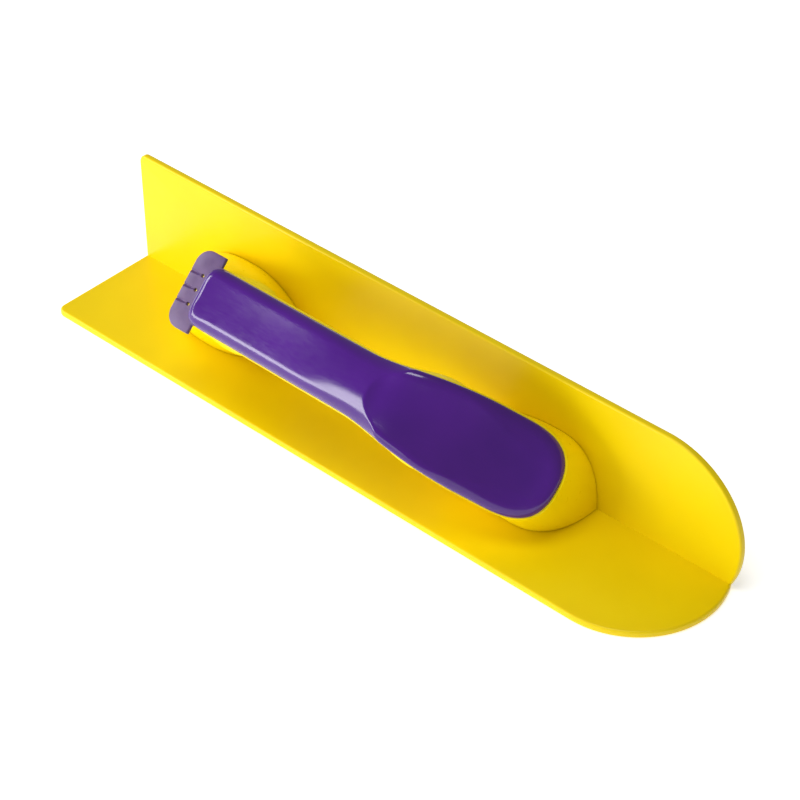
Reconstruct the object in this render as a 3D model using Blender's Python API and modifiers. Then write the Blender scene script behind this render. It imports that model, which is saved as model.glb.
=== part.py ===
"""Inside corner float: a right-angled plastic blade, a hollow bridge handle and the handle's lid.

World frame: X runs along the crease from the rear edge to the nose, +Z is up, and the lower wing lies
flat on Z = 0. The origin is on the lower wing's underside, half way along the crease and half way
across the wing.

Every piece is modelled in the tool frame, which one empty turns into place. There X is the distance
from the rear edge along the crease, Y runs across the handle, and Z leaves the crease half way between
the two wings, so the wings are the planes Z = |Y|.
"""

import math

import bmesh
import bpy
from mathutils import Matrix, Vector

# Blade
CREASE_LENGTH = 0.300
WING_WIDTH = 0.050
WING_THICKNESS = 0.003
NOSE_RADIUS = 0.036
REAR_CORNER_RADIUS = 0.0035
WING_EDGE_RADIUS = 0.0009

# Where the handle stands on the blade
REAR_MARGIN = 0.0386
NOSE_MARGIN = 0.0604

# Grip outline, seen square to the lid
BAR_WIDTH = 0.0243
SPOON_WIDTH = 0.0354
SPOON_NOSE_LENGTH = 0.0186
SPOON_POWER = 2.4
REAR_POWER = 5.0
FLARE_LENGTH = 0.0465
FLARE_TO_SPOON_CENTRE = 0.0075
LID_SETBACK = 0.0450
RIM_STEP = 0.0005

# Heights above the crease of the joint between the body and the lid
REAR_SEAM_HEIGHT = 0.0645
NECK_SEAM_HEIGHT = 0.0710
FRONT_SEAM_HEIGHT = 0.0340
DIP_LENGTH = 0.0570

# Lid
BAR_LID_RISE = 0.0070
FRONT_LID_RISE = 0.0036
LID_SHOULDER = 0.0045
LID_WALL = 0.0016
LID_SKIRT = 0.0010
DISH_DEPTH = 0.0016
DISH_LENGTH = 0.0480
LIP_DEPTH = 0.0040
LIP_WALL = 0.0012

# Handle body
BODY_WALL = 0.0024
BAR_DEPTH = 0.0140
BAR_SIDE_DEPTH = 0.0040
ARCH_RADIUS = 0.0110
BAR_SINK_LENGTH = 0.0080
REAR_FOOT_LENGTH = 0.0564
REAR_FOOT_WIDTH = 0.0374
REAR_FOOT_CENTRE = 0.0250
FRONT_FOOT_LENGTH = 0.0536
FRONT_FOOT_WIDTH = 0.0386
FOOT_FLARE_BOTTOM = 0.0140
FOOT_FLARE_TOP = 0.0440
FOOT_BACK_POWER = 3.0
FOOT_FRONT_POWER = 1.8
BELLY_POWER = 2.4

# Rear tab
TAB_THICKNESS = 0.0018
TAB_REACH = 0.0110
TAB_WIDTH = 0.0322
TAB_CORNER_RADIUS = 0.0060
TAB_SHOULDER_LENGTH = 0.0014
TONGUE_LENGTH = 0.0080
TAB_HOLE_RADIUS = 0.0007
TAB_HOLE_PITCH = 0.0060
TAB_HOLE_SETBACK = 0.0046
TAB_HOLE_COUNT = 3
NOTCH_DEPTH = 0.0007
NOTCH_WIDTH = 0.0032

# Screws and the bosses that they bite into
SCREW_RADIUS = 0.00175
SCREW_LENGTH = 0.0120
SCREW_TIP_LENGTH = 0.0018
HEAD_RADIUS = 0.0034
HEAD_HEIGHT = 0.0024
HEAD_RIM_SHARE = 0.35
RECESS_DEPTH = 0.0014
RECESS_SPAN = 0.0038
RECESS_SLOT = 0.0009
BOSS_HEIGHT = 0.0100
BOSS_HALF_WIDTH = 0.0036
BOSS_FLOOR = 0.0030
PILOT_DEPTH = 0.0108
SCREW_END_ROOM = 0.0035

# Clearances
FIT_GAP = 0.0003
LIP_GAP = 0.0005
WELD_DEPTH = 0.0010
OVERCUT = 0.0100
MERGE_DISTANCE = 0.00001

# How finely round shapes are divided
CORNER_STEPS = 8
NOSE_STEPS = 36
RING_POINTS = 48
POST_LEVELS = 20
BAR_STATIONS = 30
SECTION_STEPS = 12
LID_STATIONS = 34
LID_FAN_STEPS = 20
SHOULDER_STEPS = 6
TOP_SHARES = (0.66, 0.33)
SCREW_STEPS = 20
HEAD_STEPS = 5

# Places along the crease that follow from the sizes above
HANDLE_REAR = REAR_MARGIN
HANDLE_FRONT = CREASE_LENGTH - NOSE_MARGIN
LID_REAR = HANDLE_REAR + LID_SETBACK
LID_FRONT = HANDLE_FRONT - RIM_STEP
SPOON_CENTRE = LID_FRONT - SPOON_NOSE_LENGTH
FLARE_END = SPOON_CENTRE - FLARE_TO_SPOON_CENTRE
FLARE_START = FLARE_END - FLARE_LENGTH
DIP_END = LID_FRONT
DIP_START = DIP_END - DIP_LENGTH
BODY_REAR = LID_REAR - RIM_STEP
REAR_FOOT_FRONT = HANDLE_REAR + REAR_FOOT_LENGTH
FRONT_FOOT_REAR = HANDLE_FRONT - FRONT_FOOT_LENGTH
TONGUE_END = LID_REAR + TONGUE_LENGTH
TAB_REAR = LID_REAR - TAB_REACH
FLOOR_HEIGHT = BOSS_HEIGHT + FIT_GAP + BOSS_FLOOR
REAR_SCREW_AT = REAR_FOOT_FRONT - BODY_WALL - HEAD_RADIUS - FIT_GAP
MIDDLE_SCREW_AT = FRONT_FOOT_REAR + BODY_WALL + HEAD_RADIUS + SCREW_END_ROOM
FRONT_SCREW_AT = HANDLE_FRONT - BODY_WALL - HEAD_RADIUS - 2.0 * SCREW_END_ROOM
HALF_ROOT = math.sqrt(0.5)

YELLOW = (0.871, 0.604, 0.006)
PURPLE = (0.080, 0.017, 0.220)
LILAC = (0.310, 0.200, 0.420)
STEEL = (0.550, 0.550, 0.560)


def smooth_step(share):
    """Rise from 0 to 1 that starts and ends level."""
    share = min(max(share, 0.0), 1.0)
    return share * share * (3.0 - 2.0 * share)


def blend(start, end, share):
    return start + (end - start) * smooth_step(share)


def seam_height(along):
    """Height of the joint between body and lid: a long bar, then a dip to the thumb end."""
    bar_share = (along - LID_REAR) / (DIP_START - LID_REAR)
    bar_height = blend(REAR_SEAM_HEIGHT, NECK_SEAM_HEIGHT, bar_share)
    return blend(bar_height, FRONT_SEAM_HEIGHT, (along - DIP_START) / (DIP_END - DIP_START))


def grip_half_width(along):
    """Half width of the lid away from its two rounded ends."""
    share = (along - FLARE_START) / (FLARE_END - FLARE_START)
    return 0.5 * blend(BAR_WIDTH, SPOON_WIDTH, share)


def super_point(angle, half_x, half_y, power):
    """Point of a rounded oblong: power 2 is an ellipse, more is squarer."""
    cosine = math.cos(angle)
    sine = math.sin(angle)
    x = half_x * math.copysign(abs(cosine) ** (2.0 / power), cosine)
    y = half_y * math.copysign(abs(sine) ** (2.0 / power), sine)
    return x, y


# ---------------------------------------------------------------- scene helpers

def clear_scene():
    for item in list(bpy.data.objects):
        bpy.data.objects.remove(item, do_unlink=True)


def make_collection(name):
    collection = bpy.data.collections.new(name)
    bpy.context.scene.collection.children.link(collection)
    return collection


def make_material(name, colour, roughness, metallic=0.0):
    material = bpy.data.materials.new(name)
    material.use_nodes = True
    shader = material.node_tree.nodes["Principled BSDF"]
    shader.inputs["Base Color"].default_value = (*colour, 1.0)
    shader.inputs["Roughness"].default_value = roughness
    shader.inputs["Metallic"].default_value = metallic
    return material


class Workshop:
    """Makes objects under the tool frame, in the part's or the cutters' collection."""

    def __init__(self):
        self.parts = make_collection("inside_corner_float")
        self.cutters = make_collection("cutters")
        self.frame = bpy.data.objects.new("tool_frame", None)
        self.frame.location = (-0.5 * CREASE_LENGTH, 0.5 * WING_WIDTH, WING_THICKNESS)
        self.frame.rotation_euler = (math.radians(45.0), 0.0, 0.0)
        self.cutters.objects.link(self.frame)

    def add(self, name, builder, collection, location):
        mesh = bpy.data.meshes.new(name)
        builder.to_mesh(mesh)
        builder.free()
        item = bpy.data.objects.new(name, mesh)
        item.location = location
        item.parent = self.frame
        collection.objects.link(item)
        return item

    def part(self, name, builder, material, location=(0.0, 0.0, 0.0)):
        item = self.add(name, builder, self.parts, location)
        item.data.materials.append(material)
        item.data.shade_smooth()
        item.data.set_sharp_from_angle(angle=math.radians(35.0))
        return item

    def cutter(self, name, builder, location=(0.0, 0.0, 0.0)):
        item = self.add(name, builder, self.cutters, location)
        item.display_type = "WIRE"
        item.hide_render = True
        return item


def combine(target, other, operation):
    modifier = target.modifiers.new(other.name, "BOOLEAN")
    modifier.operation = operation
    modifier.solver = "EXACT"
    modifier.object = other


# ---------------------------------------------------------------- shape helpers

def loft(rings):
    """Closed solid through rings that have equal numbers of points."""
    builder = bmesh.new()
    loops = []
    for ring in rings:
        loops.append([builder.verts.new(point) for point in ring])
    count = len(loops[0])
    for lower, upper in zip(loops, loops[1:]):
        for index in range(count):
            after = (index + 1) % count
            builder.faces.new((lower[index], lower[after], upper[after], upper[index]))
    builder.faces.new(list(reversed(loops[0])))
    builder.faces.new(loops[-1])
    bmesh.ops.recalc_face_normals(builder, faces=builder.faces)
    return builder


def prism(outline, offset):
    """Flat outline pushed along the offset."""
    builder = bmesh.new()
    face = builder.faces.new([builder.verts.new(point) for point in outline])
    pushed = bmesh.ops.extrude_face_region(builder, geom=[face])
    corners = [item for item in pushed["geom"] if isinstance(item, bmesh.types.BMVert)]
    bmesh.ops.translate(builder, verts=corners, vec=offset)
    bmesh.ops.recalc_face_normals(builder, faces=builder.faces)
    return builder


def box(low, high):
    builder = bmesh.new()
    size = Vector(high) - Vector(low)
    centre = (Vector(high) + Vector(low)) * 0.5
    place = Matrix.Translation(centre) @ Matrix.Diagonal((*size, 1.0))
    bmesh.ops.create_cube(builder, size=1.0, matrix=place)
    return builder


def upright_cylinder(radius, low, high, steps):
    builder = bmesh.new()
    place = Matrix.Translation((0.0, 0.0, 0.5 * (low + high)))
    bmesh.ops.create_cone(
        builder, cap_ends=True, segments=steps, radius1=radius, radius2=radius,
        depth=high - low, matrix=place)
    return builder


def turned(profile):
    """Profile for a Screw modifier, as (radius, height) from top to bottom."""
    builder = bmesh.new()
    corners = [builder.verts.new((radius, 0.0, height)) for radius, height in profile]
    for upper, lower in zip(corners, corners[1:]):
        builder.edges.new((upper, lower))
    return builder


# ---------------------------------------------------------------- blade

def arc_points(centre, radius, start, end, steps):
    points = []
    for step in range(steps + 1):
        angle = start + (end - start) * step / steps
        points.append((centre[0] + radius * math.cos(angle), centre[1] + radius * math.sin(angle)))
    return points


def wing_outline():
    """Outline of one wing as (along, distance from the crease), run past the crease."""
    overrun = 2.0 * WING_THICKNESS
    nose_height = WING_WIDTH - NOSE_RADIUS
    nose_centre = CREASE_LENGTH - math.sqrt(NOSE_RADIUS ** 2 - nose_height ** 2)
    last_angle = -math.asin((nose_height + overrun) / NOSE_RADIUS)
    corner = (REAR_CORNER_RADIUS, WING_WIDTH - REAR_CORNER_RADIUS)
    outline = [(0.0, -overrun)]
    outline += arc_points(corner, REAR_CORNER_RADIUS, math.pi, 0.5 * math.pi, CORNER_STEPS)
    outline += arc_points(
        (nose_centre, nose_height), NOSE_RADIUS, 0.5 * math.pi, last_angle, NOSE_STEPS)
    return outline


def boss_section(half_width, height, sink):
    """Block in the crease: flat top, upright sides and a V below, sunk into both wings."""
    return [
        (0.0, -sink),
        (half_width, half_width - sink),
        (half_width, height),
        (-half_width, height),
        (-half_width, half_width - sink),
    ]


def section_prism(section, start, length):
    """Section in the Y-Z plane pushed along X."""
    outline = [(start, y, z) for y, z in section]
    return prism(outline, (length, 0.0, 0.0))


def screw_places():
    return {
        "rear": REAR_SCREW_AT,
        "middle": MIDDLE_SCREW_AT,
        "front": FRONT_SCREW_AT,
    }


def make_blade(shop, material):
    outline = [(along, -reach, 0.0) for along, reach in wing_outline()]
    builder = prism(outline, (0.0, 0.0, -WING_THICKNESS))
    bmesh.ops.rotate(builder, verts=builder.verts, matrix=Matrix.Rotation(math.radians(-45.0), 3, "X"))
    blade = shop.part("corner_blade", builder, material)

    edge = blade.modifiers.new("rounded_edges", "BEVEL")
    edge.width = WING_EDGE_RADIUS
    edge.segments = 2
    edge.limit_method = "ANGLE"
    edge.angle_limit = math.radians(60.0)

    mirror = blade.modifiers.new("second_wing", "MIRROR")
    mirror.use_axis = (False, True, False)
    mirror.use_bisect_axis = (False, True, False)
    mirror.use_bisect_flip_axis = (False, True, False)
    mirror.merge_threshold = MERGE_DISTANCE
    mirror.bisect_threshold = MERGE_DISTANCE

    for name, along in screw_places().items():
        section = boss_section(BOSS_HALF_WIDTH, BOSS_HEIGHT, WELD_DEPTH)
        block = section_prism(section, along - BOSS_HALF_WIDTH, 2.0 * BOSS_HALF_WIDTH)
        boss = shop.cutter(name + "_boss", block)
        combine(blade, boss, "UNION")
        hole = upright_cylinder(
            SCREW_RADIUS + FIT_GAP, BOSS_HEIGHT - PILOT_DEPTH, BOSS_HEIGHT + OVERCUT, SCREW_STEPS)
        pilot = shop.cutter(name + "_pilot_hole", hole, (along, 0.0, 0.0))
        combine(blade, pilot, "DIFFERENCE")
    return blade


# ---------------------------------------------------------------- handle body

def post_ring(rear, centre, front, half_width, power_rear, power_front, height):
    """Level ring whose rear and front halves are unlike rounded oblongs."""
    points = []
    for index in range(RING_POINTS):
        angle = 2.0 * math.pi * index / RING_POINTS
        facing_front = math.cos(angle) >= 0.0
        half_length = front - centre if facing_front else centre - rear
        power = power_front if facing_front else power_rear
        x, y = super_point(angle, half_length, half_width, power)
        points.append((centre + x, y, height))
    return points


def arch_reach(height, ceiling):
    """How far a post spreads along the bar as its side turns into the bar's underside."""
    climb = min(max(height - (ceiling - ARCH_RADIUS), 0.0), ARCH_RADIUS)
    return ARCH_RADIUS - math.sqrt(ARCH_RADIUS ** 2 - climb ** 2)


def rear_post_rings(inset):
    top = REAR_SEAM_HEIGHT + OVERCUT
    ceiling = REAR_SEAM_HEIGHT - BAR_DEPTH
    foot_centre = HANDLE_REAR + REAR_FOOT_CENTRE
    bar_half = 0.5 * BAR_WIDTH + RIM_STEP
    rings = []
    for level in range(POST_LEVELS + 1):
        height = top * level / POST_LEVELS
        share = (height - FOOT_FLARE_BOTTOM) / (REAR_SEAM_HEIGHT - FOOT_FLARE_BOTTOM)
        width_share = (height - FOOT_FLARE_BOTTOM) / (FOOT_FLARE_TOP - FOOT_FLARE_BOTTOM)
        rear = blend(HANDLE_REAR, BODY_REAR, share)
        centre = blend(foot_centre, BODY_REAR + bar_half, share)
        front = REAR_FOOT_FRONT + arch_reach(height, ceiling)
        half_width = blend(0.5 * REAR_FOOT_WIDTH, bar_half, width_share)
        rings.append(post_ring(
            rear + inset, centre, front - inset, half_width - inset,
            blend(FOOT_BACK_POWER, REAR_POWER, share), blend(FOOT_FRONT_POWER, REAR_POWER, share), height))
    return rings


def front_post_rings(inset):
    top = NECK_SEAM_HEIGHT
    ceiling = seam_height(FRONT_FOOT_REAR) - BAR_DEPTH
    seat_half = 0.5 * SPOON_WIDTH + RIM_STEP
    rings = []
    for level in range(POST_LEVELS + 1):
        height = top * level / POST_LEVELS
        width_share = (height - FOOT_FLARE_BOTTOM) / (FRONT_SEAM_HEIGHT - FOOT_FLARE_BOTTOM)
        rear = FRONT_FOOT_REAR - arch_reach(height, ceiling)
        half_width = blend(0.5 * FRONT_FOOT_WIDTH, seat_half, width_share)
        rings.append(post_ring(
            rear + inset, SPOON_CENTRE, HANDLE_FRONT - inset, half_width - inset,
            SPOON_POWER, SPOON_POWER, height))
    return rings


def bar_section(along, half_width, depth, side_depth, rise):
    """U-shaped section of the bar, closed above the seam."""
    top = seam_height(along)
    belly = depth - side_depth
    points = [(along, half_width, top + rise)]
    for step in range(SECTION_STEPS + 1):
        y, z = super_point(-math.pi * step / SECTION_STEPS, half_width, belly, BELLY_POWER)
        points.append((along, y, top - side_depth + z))
    points.append((along, -half_width, top + rise))
    return points


def bar_rings(inset):
    """Bar between the posts. Its sides sink into the posts at both ends."""
    start = BODY_REAR + 0.5 * BAR_WIDTH
    end = SPOON_CENTRE + 2.0 * WELD_DEPTH
    rings = []
    for station in range(BAR_STATIONS + 1):
        along = start + (end - start) * station / BAR_STATIONS
        rear_share = 1.0 - (along - start) / BAR_SINK_LENGTH
        front_share = 1.0 - (end - along) / BAR_SINK_LENGTH
        sink = WELD_DEPTH * (smooth_step(rear_share) + smooth_step(front_share))
        half_width = grip_half_width(along) + RIM_STEP - sink - inset
        rings.append(bar_section(along, half_width, BAR_DEPTH - inset, BAR_SIDE_DEPTH, OVERCUT))
    return rings


def seam_line(start, end, lift):
    """Side view of the joint between body and lid, raised by the lift."""
    stations = 2 * BAR_STATIONS
    places = [start + (end - start) * station / stations for station in range(stations + 1)]
    return [(along, seam_height(along) + lift) for along in places]


def seat_outline():
    """Side view of everything above the body's top face, with the step that holds the tab."""
    step_down = TAB_THICKNESS + FIT_GAP
    tongue_stop = TONGUE_END + FIT_GAP
    roof = NECK_SEAM_HEIGHT + 2.0 * OVERCUT
    low_end = REAR_SEAM_HEIGHT - step_down
    outline = [(HANDLE_REAR - OVERCUT, roof), (HANDLE_REAR - OVERCUT, low_end)]
    outline.append((tongue_stop, low_end))
    outline += seam_line(tongue_stop, HANDLE_FRONT + OVERCUT, 0.0)
    outline.append((HANDLE_FRONT + OVERCUT, roof))
    return outline


def wedge_section(lift):
    """Everything on the blade's side of two planes that lie above its wings by the lift."""
    apex = lift / HALF_ROOT
    reach = WING_WIDTH
    return [
        (0.0, apex),
        (reach, reach + apex),
        (reach, -reach),
        (-reach, -reach),
        (-reach, reach + apex),
    ]


def make_cavity(shop):
    """Space inside the hollow handle, above its floor and clear of its walls."""
    cavity = shop.cutter("cavity", loft(bar_rings(BODY_WALL)))
    combine(cavity, shop.cutter("cavity_rear", loft(rear_post_rings(BODY_WALL))), "UNION")
    combine(cavity, shop.cutter("cavity_front", loft(front_post_rings(BODY_WALL))), "UNION")
    length = HANDLE_FRONT - HANDLE_REAR + 2.0 * OVERCUT
    wedge = section_prism(wedge_section(FIT_GAP + BODY_WALL), HANDLE_REAR - OVERCUT, length)
    combine(cavity, shop.cutter("cavity_wedge", wedge), "DIFFERENCE")
    floor = box(
        (HANDLE_REAR - OVERCUT, -WING_WIDTH, -OVERCUT),
        (HANDLE_FRONT + OVERCUT, WING_WIDTH, FLOOR_HEIGHT))
    combine(cavity, shop.cutter("cavity_floor", floor), "DIFFERENCE")
    return cavity


def make_body(shop, material):
    body = shop.part("handle_body", loft(bar_rings(0.0)), material)
    combine(body, shop.cutter("rear_post", loft(rear_post_rings(0.0))), "UNION")
    combine(body, shop.cutter("front_post", loft(front_post_rings(0.0))), "UNION")

    length = HANDLE_FRONT - HANDLE_REAR + 2.0 * OVERCUT
    wedge = section_prism(wedge_section(FIT_GAP), HANDLE_REAR - OVERCUT, length)
    combine(body, shop.cutter("blade_side", wedge), "DIFFERENCE")

    seat = [(along, -WING_WIDTH, height) for along, height in seat_outline()]
    combine(body, shop.cutter("lid_side", prism(seat, (0.0, 2.0 * WING_WIDTH, 0.0))), "DIFFERENCE")
    combine(body, make_cavity(shop), "DIFFERENCE")

    pocket_half = BOSS_HALF_WIDTH + FIT_GAP
    for name, along in screw_places().items():
        section = boss_section(pocket_half, BOSS_HEIGHT + FIT_GAP, OVERCUT)
        block = section_prism(section, along - pocket_half, 2.0 * pocket_half)
        combine(body, shop.cutter(name + "_pocket", block), "DIFFERENCE")
        hole = upright_cylinder(SCREW_RADIUS + FIT_GAP, 0.0, FLOOR_HEIGHT + OVERCUT, SCREW_STEPS)
        combine(body, shop.cutter(name + "_through_hole", hole, (along, 0.0, 0.0)), "DIFFERENCE")
    return body


# ---------------------------------------------------------------- lid

def lid_rays(grow, rear):
    """Spine point and edge point of every ray of the lid, once round its outline."""
    half_bar = 0.5 * BAR_WIDTH
    rear_centre = rear + half_bar
    rays = []
    for step in range(LID_FAN_STEPS + 1):
        angle = math.radians(-90.0 + 180.0 * step / LID_FAN_STEPS)
        x, y = super_point(angle, SPOON_NOSE_LENGTH + grow, 0.5 * SPOON_WIDTH + grow, SPOON_POWER)
        rays.append((SPOON_CENTRE, (SPOON_CENTRE + x, y)))
    stations = []
    for station in range(1, LID_STATIONS):
        stations.append(rear_centre + (SPOON_CENTRE - rear_centre) * station / LID_STATIONS)
    for along in reversed(stations):
        rays.append((along, (along, grip_half_width(along) + grow)))
    for step in range(LID_FAN_STEPS + 1):
        angle = math.radians(90.0 + 180.0 * step / LID_FAN_STEPS)
        x, y = super_point(angle, half_bar + grow, half_bar + grow, REAR_POWER)
        rays.append((rear_centre, (rear_centre + x, y)))
    for along in stations:
        rays.append((along, (along, -grip_half_width(along) - grow)))
    return rays


def dish_share(along, across):
    """1 in the middle of the thumb rest, 0 from its rim outwards."""
    centre = LID_FRONT - 0.5 * DISH_LENGTH
    half_width = 0.5 * SPOON_WIDTH - LID_SHOULDER
    distance = math.hypot((along - centre) / (0.5 * DISH_LENGTH), across / half_width)
    return 1.0 - smooth_step(distance)


def lid_height(along, across, edge_distance):
    """Outer face of the lid: rounded shoulder, nearly flat top and the hollow for the thumb."""
    share = (along - DIP_START) / (DIP_END - DIP_START)
    rise = blend(BAR_LID_RISE, FRONT_LID_RISE, share)
    shoulder = min(LID_SHOULDER, rise - LID_SKIRT)
    inward = min(edge_distance / LID_SHOULDER, 1.0)
    drop = shoulder * (1.0 - math.sqrt(1.0 - (1.0 - inward) ** 2))
    return seam_height(along) + rise - drop - DISH_DEPTH * dish_share(along, across)


def lid_levels():
    """Distances in from the lid's edge that shape its shoulder."""
    angles = [0.5 * math.pi * step / SHOULDER_STEPS for step in range(SHOULDER_STEPS + 1)]
    return [LID_SHOULDER * (1.0 - math.cos(angle)) for angle in angles]


def make_lid_surface():
    """Open outer surface of the lid: an upright skirt that is still too deep, the shoulder, the top."""
    builder = bmesh.new()
    columns = []
    for spine, (x, y) in lid_rays(0.0, LID_REAR):
        length = math.hypot(x - spine, y)
        column = [builder.verts.new((x, y, seam_height(x) - LID_SHOULDER))]
        distances = lid_levels() + [length - (length - LID_SHOULDER) * share for share in TOP_SHARES]
        for distance in distances:
            share = 1.0 - distance / length
            px = spine + (x - spine) * share
            py = y * share
            column.append(builder.verts.new((px, py, lid_height(px, py, distance))))
        column.append(builder.verts.new((spine, 0.0, lid_height(spine, 0.0, LID_SHOULDER))))
        columns.append(column)
    count = len(columns)
    for index in range(count):
        here = columns[index]
        after = columns[(index + 1) % count]
        for level in range(len(here) - 1):
            builder.faces.new((here[level], after[level], after[level + 1], here[level + 1]))
    bmesh.ops.remove_doubles(builder, verts=builder.verts, dist=MERGE_DISTANCE)
    return builder


def make_lip():
    """Band under the lid that drops into the body and locates it."""
    rear = TONGUE_END + 2.0 * FIT_GAP + BODY_WALL
    outer_rays = lid_rays(RIM_STEP - BODY_WALL - LIP_GAP, rear)
    inner_rays = lid_rays(RIM_STEP - BODY_WALL - LIP_GAP - LIP_WALL, rear)
    builder = bmesh.new()
    sections = []
    for (_, (outer_x, outer_y)), (_, (inner_x, inner_y)) in zip(outer_rays, inner_rays):
        top = lid_height(outer_x, outer_y, LID_SHOULDER) - LID_WALL
        bottom = seam_height(outer_x) - LIP_DEPTH
        section = (
            (outer_x, outer_y, bottom),
            (outer_x, outer_y, top),
            (inner_x, inner_y, top),
            (inner_x, inner_y, bottom),
        )
        sections.append([builder.verts.new(point) for point in section])
    for here, after in zip(sections, sections[1:] + sections[:1]):
        for corner in range(len(here)):
            other = (corner + 1) % len(here)
            builder.faces.new((here[corner], after[corner], after[other], here[other]))
    bmesh.ops.recalc_face_normals(builder, faces=builder.faces)
    return builder


def make_lid(shop, material):
    lid = shop.part("grip_cover", make_lid_surface(), material)
    wall = lid.modifiers.new("wall", "SOLIDIFY")
    wall.thickness = LID_WALL
    wall.offset = -1.0

    outline = seam_line(LID_REAR - OVERCUT, HANDLE_FRONT + OVERCUT, FIT_GAP)
    outline += [(HANDLE_FRONT + OVERCUT, FLOOR_HEIGHT), (LID_REAR - OVERCUT, FLOOR_HEIGHT)]
    below = [(along, -WING_WIDTH, height) for along, height in outline]
    combine(lid, shop.cutter("below_lid", prism(below, (0.0, 2.0 * WING_WIDTH, 0.0))), "DIFFERENCE")
    combine(lid, shop.cutter("lid_lip", make_lip()), "UNION")
    return lid


# ---------------------------------------------------------------- rear tab

def tab_outline():
    """Tab seen from above: a wide round-cornered flange and the narrower tongue under the lid."""
    half = 0.5 * TAB_WIDTH
    tongue_half = 0.5 * BAR_WIDTH
    corner = (TAB_REAR + TAB_CORNER_RADIUS, half - TAB_CORNER_RADIUS)
    shoulder = LID_REAR + TAB_SHOULDER_LENGTH
    upper = arc_points(corner, TAB_CORNER_RADIUS, math.pi, 0.5 * math.pi, CORNER_STEPS)
    upper += [(shoulder, half), (shoulder, tongue_half), (TONGUE_END, tongue_half)]
    lower = [(x, -y) for x, y in reversed(upper)]
    return upper + lower


def notch_wedge(length):
    """V-shaped groove that widens from the hole to the tab's outer edge."""
    builder = bmesh.new()
    points = (
        (length, 0.0, -0.5 * NOTCH_DEPTH),
        (length, 0.0, NOTCH_DEPTH),
        (-WELD_DEPTH, 0.0, -NOTCH_DEPTH),
        (-WELD_DEPTH, 0.5 * NOTCH_WIDTH, NOTCH_DEPTH),
        (-WELD_DEPTH, -0.5 * NOTCH_WIDTH, NOTCH_DEPTH),
    )
    for point in points:
        builder.verts.new(point)
    bmesh.ops.convex_hull(builder, input=builder.verts)
    bmesh.ops.recalc_face_normals(builder, faces=builder.faces)
    return builder


def make_tab(shop, material):
    outline = [(x, y, -TAB_THICKNESS) for x, y in tab_outline()]
    tab = shop.part(
        "rear_tab", prism(outline, (0.0, 0.0, TAB_THICKNESS)), material, (0.0, 0.0, REAR_SEAM_HEIGHT))
    hole_at = LID_REAR - TAB_HOLE_SETBACK
    for index in range(TAB_HOLE_COUNT):
        across = TAB_HOLE_PITCH * (index - 0.5 * (TAB_HOLE_COUNT - 1))
        drill = upright_cylinder(TAB_HOLE_RADIUS, -2.0 * TAB_THICKNESS, TAB_THICKNESS, SCREW_STEPS)
        place = (hole_at, across, REAR_SEAM_HEIGHT)
        combine(tab, shop.cutter("tab_hole_%d" % (index + 1), drill, place), "DIFFERENCE")
        place = (TAB_REAR, across, REAR_SEAM_HEIGHT)
        groove = shop.cutter("tab_notch_%d" % (index + 1), notch_wedge(hole_at - TAB_REAR), place)
        combine(tab, groove, "DIFFERENCE")
    return tab


# ---------------------------------------------------------------- screws

def make_screw(shop, name, along, material):
    """Pan-head self-tapping screw: a turned shape with a cross recess."""
    seat = FLOOR_HEIGHT + FIT_GAP
    profile = [(0.0, HEAD_HEIGHT)]
    for step in range(1, HEAD_STEPS + 1):
        angle = 0.5 * math.pi * step / HEAD_STEPS
        height_share = HEAD_RIM_SHARE + (1.0 - HEAD_RIM_SHARE) * math.cos(angle)
        profile.append((HEAD_RADIUS * math.sin(angle), HEAD_HEIGHT * height_share))
    profile += [
        (HEAD_RADIUS, 0.0),
        (SCREW_RADIUS, 0.0),
        (SCREW_RADIUS, -SCREW_LENGTH + SCREW_TIP_LENGTH),
        (0.0, -SCREW_LENGTH),
    ]
    screw = shop.part(name, turned(profile), material, (along, 0.0, seat))
    spin = screw.modifiers.new("turned", "SCREW")
    spin.axis = "Z"
    spin.steps = SCREW_STEPS
    spin.render_steps = SCREW_STEPS
    spin.use_merge_vertices = True
    spin.merge_threshold = MERGE_DISTANCE
    for slot, (length, width) in enumerate(((RECESS_SPAN, RECESS_SLOT), (RECESS_SLOT, RECESS_SPAN))):
        low = (-0.5 * length, -0.5 * width, HEAD_HEIGHT - RECESS_DEPTH)
        high = (0.5 * length, 0.5 * width, HEAD_HEIGHT + OVERCUT)
        cutter = shop.cutter("%s_recess_%d" % (name, slot + 1), box(low, high), (along, 0.0, seat))
        combine(screw, cutter, "DIFFERENCE")
    return screw


def main():
    clear_scene()
    shop = Workshop()
    yellow = make_material("yellow_plastic", YELLOW, 0.35)
    purple = make_material("purple_plastic", PURPLE, 0.15)
    lilac = make_material("lilac_plastic", LILAC, 0.35)
    steel = make_material("zinc_plated_steel", STEEL, 0.35, 1.0)
    make_blade(shop, yellow)
    make_body(shop, yellow.copy())
    make_lid(shop, purple)
    make_tab(shop, lilac)
    for name, along in screw_places().items():
        make_screw(shop, name + "_screw", along, steel.copy())


main()
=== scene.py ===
# %% [markdown]
# # A two-colour plastic inside corner float
# A plasterer runs this tool along an inside corner. Two thin wings meet in a right angle, and a hollow
# bridge handle stands over the crease. The handle is moulded in the blade's yellow plastic and closed
# by a glossy purple lid with a scoop for the thumb. The measured model of every piece is loaded first,
# and nothing in it is moved: each finer piece below is built in the same frame, in its place.

# %% Load the measured frame
import math

import bmesh
import bpy
import numpy as np
from mathutils import Matrix, Vector


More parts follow.
